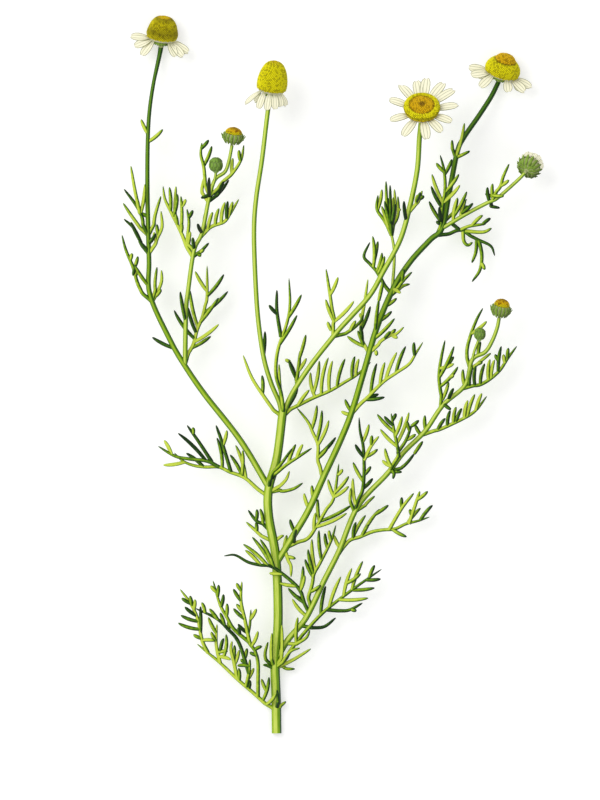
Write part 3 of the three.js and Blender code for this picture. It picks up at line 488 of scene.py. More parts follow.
def seat_tree():
    """Nodes that set a small rounded body on every seat of a mesh, beside the mesh's own faces."""
    tree = bpy.data.node_groups.new("bodies_on_seats", "GeometryNodeTree")
    inputs = (
        ("Geometry", "NodeSocketGeometry", None), ("Segments", "NodeSocketInt", 7),
        ("Rings", "NodeSocketInt", 4), ("Unevenness", "NodeSocketFloat", 0.15),
        ("Seed", "NodeSocketInt", 5), ("Material", "NodeSocketMaterial", None),
    )
    for name, kind, value in inputs:
        socket = tree.interface.new_socket(name, in_out="INPUT", socket_type=kind)
        if value is not None:
            socket.default_value = value
    tree.interface.new_socket("Geometry", in_out="OUTPUT", socket_type="NodeSocketGeometry")
    given = tree.nodes.new("NodeGroupInput")
    result = tree.nodes.new("NodeGroupOutput")
    link = tree.links.new

    def read(name, kind):
        node = tree.nodes.new("GeometryNodeInputNamedAttribute")
        node.data_type = kind
        node.inputs["Name"].default_value = name
        return node.outputs["Attribute"]

    body = tree.nodes.new("GeometryNodeMeshUVSphere")
    link(given.outputs["Segments"], body.inputs["Segments"])
    link(given.outputs["Rings"], body.inputs["Rings"])
    body.inputs["Radius"].default_value = 1.0
    turned = tree.nodes.new("FunctionNodeAxesToRotation")
    turned.primary_axis = "Z"
    turned.secondary_axis = "X"
    link(read("outward", "FLOAT_VECTOR"), turned.inputs["Primary Axis"])
    link(read("lengthwise", "FLOAT_VECTOR"), turned.inputs["Secondary Axis"])
    chance = tree.nodes.new("FunctionNodeRandomValue")
    chance.data_type = "FLOAT"
    link(given.outputs["Seed"], chance.inputs["Seed"])
    spread = tree.nodes.new("ShaderNodeMath")
    spread.operation = "MULTIPLY_ADD"
    link(chance.outputs["Value"], spread.inputs[0])
    link(given.outputs["Unevenness"], spread.inputs[1])
    spread.inputs[2].default_value = 0.92
    size = tree.nodes.new("ShaderNodeVectorMath")
    size.operation = "SCALE"
    link(read("size", "FLOAT_VECTOR"), size.inputs[0])
    link(spread.outputs[0], size.inputs["Scale"])
    tone = tree.nodes.new("GeometryNodeStoreNamedAttribute")
    tone.data_type = "FLOAT"
    tone.domain = "POINT"
    tone.inputs["Name"].default_value = "tone"
    link(given.outputs["Geometry"], tone.inputs["Geometry"])
    link(chance.outputs["Value"], tone.inputs["Value"])
    bodies = tree.nodes.new("GeometryNodeInstanceOnPoints")
    link(tone.outputs[0], bodies.inputs["Points"])
    link(read("seat", "BOOLEAN"), bodies.inputs["Selection"])
    link(body.outputs[0], bodies.inputs["Instance"])
    link(turned.outputs[0], bodies.inputs["Rotation"])
    link(size.outputs[0], bodies.inputs["Scale"])
    core = tree.nodes.new("GeometryNodeDeleteGeometry")
    link(given.outputs["Geometry"], core.inputs["Geometry"])
    link(read("seat", "BOOLEAN"), core.inputs["Selection"])
    joined = tree.nodes.new("GeometryNodeJoinGeometry")
    link(bodies.outputs[0], joined.inputs[0])
    link(core.outputs[0], joined.inputs[0])
    real = tree.nodes.new("GeometryNodeRealizeInstances")
    smooth = tree.nodes.new("GeometryNodeSetShadeSmooth")
    finish = tree.nodes.new("GeometryNodeSetMaterial")
    link(joined.outputs[0], real.inputs[0])
    link(real.outputs[0], smooth.inputs[0])
    link(smooth.outputs[0], finish.inputs[0])
    link(given.outputs["Material"], finish.inputs["Material"])
    link(finish.outputs[0], result.inputs[0])
    return tree


def standing(axis):
    """Side, back and forward directions of a piece that stands along an axis."""
    forward = unit(np.array(axis, float))
    side = unit(np.array((1.0, 0, 0)) - forward * forward[0])
    return np.array((side, np.cross(forward, side), forward))


def outline_path(outline):
    """A lathe outline as dense (radius, height) points with the area swept up to each of them."""
    path = smooth_path([(r, z, 0) for r, z in outline])
    line = path(np.linspace(0, 1, 240))[:, :2]
    line[:, 0] = np.maximum(line[:, 0], 0)
    step = np.linalg.norm(np.diff(line, axis=0), axis=1)
    area = np.append(0, np.cumsum(step * (line[1:, 0] + line[:-1, 0]) * math.pi))
    return line, area


def seated_object(name, base, axis, outline, seats, core_scale, around=48, rows=28):
    """A lathed core and loose seats for the small bodies that cover it.

    Each seat is (radius, height, angle, radial lean, size, share of the way up)."""
    frame_axes = standing(axis)
    line, area = outline_path(outline)
    stops = np.interp(np.linspace(0, 1, rows), np.linspace(0, 1, len(line)), np.arange(len(line)))
    ring_points = line[stops.astype(int)] * core_scale
    low = [(0.0, ring_points[0][1])] if ring_points[0][0] > 0.01 else []
    profile = low + [tuple(point) for point in ring_points[:-1]]
    places, faces, row = [], [], []
    for k, (r, z) in enumerate(profile):
        count = 1 if r < 1e-6 else around
        row.append((len(places), count))
        for i in range(count):
            angle = i * 2 * math.pi / around
            places.append((r * math.cos(angle), r * math.sin(angle), z, max(0, k - 1) / rows))
    top = len(places)
    places.append((0.0, 0.0, ring_points[-1][1], 1.0))
    row.append((top, 1))
    for (a, na), (b, nb) in zip(row, row[1:]):
        for i in range(around):
            j = (i + 1) % around
            if na == 1:
                faces.append((a, b + j, b + i))
            elif nb == 1:
                faces.append((a + i, a + j, b))
            else:
                faces.append((a + i, a + j, b + j, b + i))
    core_count = len(places)
    outward, lengthwise, size = ([(0, 0, 1)] * core_count, [(1, 0, 0)] * core_count,
                                 [(0, 0, 0)] * core_count)
    for r, z, angle, lean, body, share in seats:
        radial = np.array((math.cos(angle), math.sin(angle), 0))
        rise = np.array((0, 0, 1.0))
        normal = radial * math.cos(lean) + rise * math.sin(lean)
        uphill = rise * math.cos(lean) - radial * math.sin(lean)
        places.append((r * math.cos(angle), r * math.sin(angle), z, share))
        outward.append(normal)
        lengthwise.append(uphill)
        size.append(body)
    places = np.array(places)
    mesh = bpy.data.meshes.new(name)
    mesh.from_pydata(((places[:, :3] @ frame_axes + base) * MM).tolist(), [], faces)
    for label, kind, values in (
        ("outward", "FLOAT_VECTOR", np.array(outward) @ frame_axes),
        ("lengthwise", "FLOAT_VECTOR", np.array(lengthwise) @ frame_axes),
        ("size", "FLOAT_VECTOR", np.array(size) * MM),
    ):
        attribute = mesh.attributes.new(label, kind, "POINT")
        attribute.data.foreach_set("vector", np.asarray(values, np.float32).ravel())
    share = mesh.attributes.new("row", "FLOAT", "POINT")
    share.data.foreach_set("value", places[:, 3].astype(np.float32))
    seat = mesh.attributes.new("seat", "BOOLEAN", "POINT")
    seat.data.foreach_set("value", np.arange(len(places)) >= core_count)
    obj = bpy.data.objects.new(name, mesh)
    bpy.context.scene.collection.objects.link(obj)
    return obj


def spiral_seats(outline, pitch, size, inset):
    """Seats of florets at equal areas up a dome, each a golden angle past the last."""
    line, area = outline_path(outline)
    count = int(area[-1] / pitch**2)
    seats = []
    for i in range(count):
        share = (i + 0.5) / count
        at = np.interp(share * area[-1], area, np.arange(len(line)))
        k = min(int(at), len(line) - 2)
        r, z = line[k] + (line[k + 1] - line[k]) * (at - k)
        slope = line[min(k + 3, len(line) - 1)] - line[max(k - 2, 0)]
        lean = math.atan2(-slope[0], slope[1])
        r, z = r - inset * math.cos(lean), z - inset * math.sin(lean)
        seats.append((r, z, i * GOLDEN_ANGLE, lean, size, at / len(line)))
    return seats


def floret_skin(name, stops, speckle):
    """A floret finish whose colour runs by share up the dome, with fine speckles and painted shade on one
    flank and underneath.
    """
    material, tree, shader = new_material(name, 0.7)
    nodes, link = tree.nodes, tree.links.new
    calc = maths(tree)

    def blend(a, colour, share):
        node = nodes.new("ShaderNodeMix")
        node.data_type = "RGBA"
        node.blend_type = "MULTIPLY"
        link(a, node.inputs["A"])
        node.inputs["B"].default_value = (*colour, 1)
        link(share, node.inputs["Factor"])
        return node.outputs["Result"]

    uneven = nodes.new("ShaderNodeTexNoise")
    uneven.inputs["Scale"].default_value = 420.0
    link(nodes.new("ShaderNodeTexCoord").outputs["Object"], uneven.inputs["Vector"])
    row = calc("MULTIPLY_ADD", uneven.outputs["Fac"], 0.1, read_value(tree, "row"))
    banded = colour_ramp(tree, [(min(1, position + 0.05), colour) for position, colour in stops], row)
    facing = nodes.new("ShaderNodeSeparateXYZ")
    link(nodes.new("ShaderNodeNewGeometry").outputs["Normal"], facing.inputs[0])
    # Painted shade: florets that face one side, and those that face down, are darkened.
    painted_flank_shade = calc("DIVIDE", calc("SUBTRACT", facing.outputs["X"], 0.5), 0.3)
    painted_flank_shade = calc("EXPONENT", calc("MULTIPLY", calc("MULTIPLY", painted_flank_shade, painted_flank_shade), -1.0))
    painted_under_shade = calc("MULTIPLY", calc("MAXIMUM", calc("SUBTRACT", 0.25, facing.outputs["Z"]), 0.0), 0.8)
    fleck = calc("LESS_THAN", read_value(tree, "tone"), 0.3)
    colour = blend(banded, (0.42, 0.4, 0.3), calc("MULTIPLY", painted_flank_shade, 0.75))
    colour = blend(colour, (0.35, 0.34, 0.2), painted_under_shade)
    colour = blend(colour, speckle, fleck)
    link(colour, shader.inputs["Base Color"])
    return material


YELLOW = (0.68, 0.6, 0.003)
BRIGHT = (0.86, 0.8, 0.004)
OLIVE = (0.36, 0.31, 0.003)
ORANGE = (0.82, 0.53, 0.004)
BROWN = (0.33, 0.19, 0.003)
DOME_COLOURS = {
    "head_left": ((0, YELLOW), (0.3, OLIVE), (0.6, YELLOW), (0.8, OLIVE), (0.87, ORANGE), (0.94, YELLOW),
                  (1, ORANGE)),
    "head_tall": ((0, YELLOW), (0.2, BRIGHT), (0.75, BRIGHT), (0.9, YELLOW), (0.94, ORANGE), (1, YELLOW)),
    "head_facing": ((0, ORANGE), (0.12, YELLOW), (0.24, OLIVE), (0.31, BRIGHT), (0.62, BRIGHT),
                    (0.7, BROWN), (0.76, ORANGE), (0.97, ORANGE), (1, BROWN)),
    "head_right": ((0, YELLOW), (0.2, BRIGHT), (0.5, BRIGHT), (0.57, OLIVE), (0.62, BROWN),
                   (0.66, ORANGE), (1, ORANGE)),
}
seats_tree = seat_tree()
rooms = []
for name, head in HEADS.items():
    base = on_plan(*head["at"])
    forward = standing(head["axis"])[2]
    rooms.append((name, base + forward * head["disc"][-1][1] * 0.4, head["disc"][0][0]))
    finish = floret_skin(f"{name}_florets", DOME_COLOURS[name], (0.68, 0.66, 0.4))
    seats = spiral_seats(head["disc"], FLORET_PITCH, FLORET_SIZE, 0.1)
    dome = grown(seated_object(f"{name}_dome", base, head["axis"], head["disc"], seats, 0.97),
                 seats_tree, {"Material": finish, "Seed": len(rooms)})
    hand_over(dome, "disc_florets", f"{name}_disc")

# ---------------------------------------------------------------- rays
# Round the rim of each dome stand the ray florets: thin cream straps with two shallow grooves and
# a ragged, notched end. They turn down with age. One small plate under the dome carries them.
PLATE = 0.7
RAY_THICKNESS = 0.4
RAY_ACROSS = 14
RAY_ALONG = 22
PLATE_SIDES = 40


def ray_half_width(share):
    swell = 0.42 + 0.58 * math.sin(min(share / 0.55, 1) * math.pi / 2)
    return swell * math.sqrt(1 - 0.9 * max(0.0, (share - 0.6) / 0.4) ** 2.6)


def ray_blade(root, tip, root_facing, facing, width, number):
    """One ray as a closed shell: its points, faces, and across/reach values for each point."""
    reach = np.linalg.norm(tip - root)
    middle = (root + tip) / 2 + facing * reach * 0.1
    wobble = random.Random(number)
    teeth = [wobble.uniform(0.0, 0.07) for _ in range(3)]
    curl = wobble.uniform(-0.12, 0.2)
    places, values = [], []
    for layer in (0.5, -0.5):
        for k in range(RAY_ALONG + 1):
            for i in range(RAY_ACROSS + 1):
                u = i / RAY_ACROSS * 2 - 1
                end = 1 - teeth[min(2, int((u + 1) * 1.5))] - 0.02 * (math.cos(3 * math.pi * u) + 1)
                t = k / RAY_ALONG * end
                centre = root * (1 - t) ** 2 + middle * 2 * t * (1 - t) + tip * t * t
                along = unit((middle - root) * (1 - t) + (tip - middle) * t)
                towards = root_facing + (facing - root_facing) * min(1, t * 1.4)
                side = unit(np.cross(towards, along))
                face = np.cross(along, side)
                thin = RAY_THICKNESS * (1 - 0.55 * u * u) * (1 - 0.4 * t)
                groove = 0.08 * (math.exp(-((abs(u) - 0.36) / 0.12) ** 2)) * min(1, t * 5)
                lift = layer * thin + 0.25 * t * u * u + curl * t * t * u - (groove if layer > 0 else 0)
                places.append(centre + side * u * width / 2 * ray_half_width(k / RAY_ALONG) + face * lift)
                values.append((u, t))
    faces = []
    row, sheet = RAY_ACROSS + 1, (RAY_ACROSS + 1) * (RAY_ALONG + 1)
    for k in range(RAY_ALONG):
        for i in range(RAY_ACROSS):
            a = k * row + i
            faces.append((a, a + 1, a + row + 1, a + row))
            faces.append((sheet + a, sheet + a + row, sheet + a + row + 1, sheet + a + 1))
    rim = [i for i in range(row)] + [k * row + RAY_ACROSS for k in range(1, RAY_ALONG + 1)]
    rim += [RAY_ALONG * row + i for i in range(RAY_ACROSS - 1, -1, -1)]
    rim += [k * row for k in range(RAY_ALONG - 1, 0, -1)]
    for a, b in zip(rim, rim[1:] + rim[:1]):
        faces.append((b, a, sheet + a, sheet + b))
    return places, faces, values


def shell_object(name, parts, material):
    """Several closed shells as one smooth mesh with `across` and `reach` values on its points."""
    places, faces, values = [], [], []
    for part_places, part_faces, part_values in parts:
        faces += [tuple(len(places) + v for v in face) for face in part_faces]
        places += [tuple(np.array(place) * MM) for place in part_places]
        values += list(part_values)
    mesh = bpy.data.meshes.new(name)
    mesh.from_pydata(places, [], faces)
    shell = bmesh.new()
    shell.from_mesh(mesh)
    bmesh.ops.recalc_face_normals(shell, faces=shell.faces)
    shell.to_mesh(mesh)
    shell.free()
    for k, label in enumerate(("across", "reach")):
        attribute = mesh.attributes.new(label, "FLOAT", "POINT")
        attribute.data.foreach_set("value", [value[k] for value in values])
    mesh.polygons.foreach_set("use_smooth", [True] * len(mesh.polygons))
    mesh.materials.append(material)
    obj = bpy.data.objects.new(name, mesh)
    bpy.context.scene.collection.objects.link(obj)
    return obj


def lathed(profile, base, axis, sides):
    """A closed turned shell from a (radius, height) profile that starts and ends on its axis."""
    frame_axes = standing(axis)
    places, faces, rings = [], [], []
    for r, z in profile:
        count = 1 if r == 0 else sides
        rings.append((len(places), count))
        for i in range(count):
            angle = i * 2 * math.pi / sides
            places.append(np.array((r * math.cos(angle), r * math.sin(angle), z)) @ frame_axes + base)
    for (a, na), (b, nb) in zip(rings, rings[1:]):
        for i in range(sides):
            j = (i + 1) % sides
            if na == 1:
                faces.append((a, b + j, b + i))
            elif nb == 1:
                faces.append((a + i, a + j, b))
            else:
                faces.append((a + i, a + j, b + j, b + i))
    return places, faces, [(0.0, 0.0)] * len(places)


def ray_skin():
    material, tree, shader = new_material("ray_cream", 0.55)
    nodes, link = tree.nodes, tree.links.new
    calc = maths(tree)
    grain = nodes.new("ShaderNodeTexNoise")
    grain.inputs["Scale"].default_value = 1500.0
    link(nodes.new("ShaderNodeTexCoord").outputs["Object"], grain.inputs["Vector"])
    # Painted shade in the two grooves and at the root by the dome, with darker edges; the grain is the
    # ray's own.
    out = calc("ABSOLUTE", read_value(tree, "across"))
    off = calc("ABSOLUTE", calc("SUBTRACT", out, 0.36))
    groove = calc("SUBTRACT", 1.0, calc("DIVIDE", off, 0.13))
    groove = calc("MULTIPLY", calc("MAXIMUM", groove, 0.0), 0.6)
    edge = calc("MULTIPLY", calc("MAXIMUM", calc("SUBTRACT", out, 0.8), 0.0), 5.0)
    root = calc("MULTIPLY", calc("MAXIMUM", calc("SUBTRACT", 0.35, read_value(tree, "reach")), 0.0), 1.5)
    dark = calc("ADD", calc("ADD", groove, edge), root)
    dark = calc("MULTIPLY", dark, calc("MULTIPLY_ADD", grain.outputs["Fac"], 0.8, 0.6))
    link(colour_ramp(tree, ((0, (0.98, 0.95, 0.72)), (1, (0.2, 0.22, 0.08))), dark),
         shader.inputs["Base Color"])
    return material


ray_material = ray_skin()
for name, head in HEADS.items():
    forward = standing(head["axis"])[2]
    base = on_plan(*head["at"]) - forward * (GAP + PLATE / 2)
    parts = []
    for number, (x, y, rise) in enumerate(points(head["rays"])):
        tip = on_plan(x, y, head["at"][2] + rise)
        outward = tip - base
        outward = unit(outward - forward * outward.dot(forward))
        root = base + outward * (head["plate"] - 0.7)
        facing = forward * (1 - head["twist"]) + np.array((0, 0, head["twist"]))
        away = unit(tip - root)
        facing = unit(facing - away * facing.dot(away))
        parts.append(ray_blade(root, tip, forward, facing, head["ray"], number + len(name)))
    rim, top = head["plate"] + 0.6, PLATE / 2 + GAP
    plate = ((0, -0.35), (rim * 0.8, -0.3), (rim, 0.0), (rim * 0.95, top), (0, top))
    parts.append(lathed(plate, base, head["axis"], PLATE_SIDES))
    hand_over(shell_object(f"{name}_rays_cream", parts, ray_material), "ray_florets", f"{name}_rays")

# ---------------------------------------------------------------- bracts and buds
# Green bracts with pale papery edges overlap in a cup under each head. In a bud the cup still
# holds the florets in, and in the youngest buds it closes over them as a ball. A pale core with
# a short neck on the stalk carries the bracts, one on each seat.
BUDS = {
    "bud_left": {"at": (232.3, 142.5, 15), "axis": (0.15, 0.96, 0.25), "radius": 3.5,
                 "height": 3.3, "top": 1.5},
    "bud_right": {"at": (499.5, 315.5, 12.6), "axis": (0.2, 0.95, 0.25), "radius": 3.3,
                  "height": 3.7, "top": 1.7},
    "bud_white": {"at": (526.4, 170.3, 12.2), "axis": (0.4, 0.53, -0.75), "radius": 3.9,
                  "height": 3.4, "top": 2.2},
}
CLOSED_BUDS = {
    "bud_closed_left": {"at": (216, 171, 15.5), "axis": (0, 0.97, 0.2), "radius": 2.3},
    "bud_closed_right": {"at": (479, 339, 13.1), "axis": (0.15, 0.96, 0.2), "radius": 1.9},
}
BRACT_THICKNESS = 0.2
NECK = 1.5


def bract_rows(outline, rows, count, length, width):
    """Seats of bracts in staggered rows up a cup, each lying along its wall."""
    line, _ = outline_path(outline)
    seats = []
    for k, share in enumerate(rows):
        i = int(share * (len(line) - 1))
        slope = line[min(i + 3, len(line) - 1)] - line[max(i - 3, 0)]
        lean = math.atan2(-slope[0], slope[1])
        for n in range(count):
            angle = (n + 0.5 * (k % 2)) * 2 * math.pi / count
            seats.append((line[i][0], line[i][1], angle, lean, (length, width, BRACT_THICKNESS), share))
    return seats


def bract_skin(name, green, pale):
    material, tree, shader = new_material(name, 0.55)
    nodes, link = tree.nodes, tree.links.new
    # Painted light and shade: bracts are lighter where they face the upper left and darker where they
    # face away.
    side = nodes.new("ShaderNodeVectorMath")
    side.operation = "DOT_PRODUCT"
    side.inputs[1].default_value = (-0.6, 0.15, 0.79)
    link(folded_direction(tree), side.inputs[0])
    light = maths(tree)("MULTIPLY_ADD", read_value(tree, "tone"), 0.25, side.outputs["Value"])
    shaded = colour_ramp(tree, ((0.05, tuple(0.18 * c for c in green)), (1, green)), light)
    mix = nodes.new("ShaderNodeMix")
    mix.data_type = "RGBA"
    link(read_value(tree, "seat"), mix.inputs["Factor"])
    mix.inputs["A"].default_value = (*pale, 1)
    link(shaded, mix.inputs["B"])
    link(mix.outputs["Result"], shader.inputs["Base Color"])
    return material


bract_material = bract_skin("bract_green", (0.24, 0.38, 0.05), (0.42, 0.47, 0.2))
closed_bracts = bract_skin("bract_fresh_green", (0.2, 0.36, 0.05), (0.26, 0.4, 0.1))
for number, (name, head) in enumerate(HEADS.items()):
    forward = standing(head["axis"])[2]
    base = on_plan(*head["at"]) - forward * (2 * GAP + PLATE + 1.3)
    rim = head["plate"] - 1.2
    outline = ((0.75, -0.8), (0.95, 0.0), (rim - 0.3, 0.45), (rim, 1.0), (rim - 0.2, 1.4))
    seats = bract_rows(outline, (0.6, 0.8), 15, 0.7, 0.42)
    cup = grown(seated_object(f"{name}_cup", base, head["axis"], outline, seats, 0.97),
                seats_tree, {"Segments": 10, "Rings": 8, "Material": bract_material, "Seed": number})
    hand_over(cup, "bracts", f"{name}_bracts")

young_florets = floret_skin("young_florets", ((0, YELLOW), (0.35, YELLOW), (0.6, ORANGE), (1, BROWN)),
                            (0.5, 0.38, 0.12))
for number, (name, bud) in enumerate(BUDS.items()):
    forward = standing(bud["axis"])[2]
    base = on_plan(*bud["at"])
    r, h = bud["radius"], bud["height"]
    rooms.append((name, base + forward * h * 0.6, r + 0.4))
    outline = ((0.55, -NECK), (0.7, -0.3), (r * 0.8, h * 0.2), (r * 0.97, h * 0.55), (r * 0.82, h))
    seats = bract_rows(outline, (0.6,), 15, 1.9, 0.52) + bract_rows(outline, (0.82,), 15, 1.2, 0.46)
    seats += bract_rows(outline, (0.44,), 11, 1.1, 0.5) + bract_rows(outline, (0.34,), 7, 0.9, 0.5)
    cup = grown(seated_object(f"{name}_cup", base, bud["axis"], outline, seats, 0.97),
                seats_tree, {"Segments": 10, "Rings": 8, "Material": bract_material, "Seed": number})
    hand_over(cup, "bracts", f"{name}_bracts")
    lid = base + forward * (h - 0.25)
    if name == "bud_white":
        parts = []
        for ring, (count, start, end, rise) in enumerate(((15, 0.78, 0.98, 2.2), (10, 0.5, 0.6, 2.6))):
            for n in range(count):
                angle = (n + 0.5 * ring) * 2 * math.pi / count
                side, back, _ = standing(bud["axis"])
                radial = side * math.cos(angle) + back * math.sin(angle)
                tip = lid + radial * r * end + forward * (rise + 0.3 * math.sin(n * 2.1))
                parts.append(ray_blade(lid + radial * r * start, tip, radial, radial, 1.7, n + 31 * ring))
        top = shell_object(f"{name}_ray_tips", parts, ray_material)
        hand_over(top, "ray_florets", f"{name}_top")
    else:
        outline = ((r * 0.7, 0), (r * 0.74, 0.5), (r * 0.5, bud["top"] * 0.95), (0, bud["top"] + 0.5))
        seats = spiral_seats(outline, 0.5, FLORET_SIZE, 0.1)
        top = grown(seated_object(f"{name}_florets", lid, bud["axis"], outline, seats, 0.95),
                    seats_tree, {"Material": young_florets, "Seed": number})
        hand_over(top, "young_florets", f"{name}_top")

for number, (name, bud) in enumerate(CLOSED_BUDS.items()):
    forward = standing(bud["axis"])[2]
    base = on_plan(*bud["at"])
    r = bud["radius"]
    rooms.append((name, base + forward * r, r + 0.2))
    shape = ((0.42 / r, -0.9 / r), (0.6, 0), (0.83, 0.35), (0.95, 0.9), (0.7, 1.6), (0.0, 1.98))
    outline = tuple((a * r, b * r) for a, b in shape)
    seats = bract_rows(outline, (0.42, 0.62, 0.82), 10, 0.42 * r, 0.24 * r)
    ball = grown(seated_object(f"{name}_ball", base, bud["axis"], outline, seats, 0.97),
                 seats_tree, {"Segments": 10, "Rings": 8, "Material": closed_bracts, "Seed": number})
    hand_over(ball, "bracts", name)

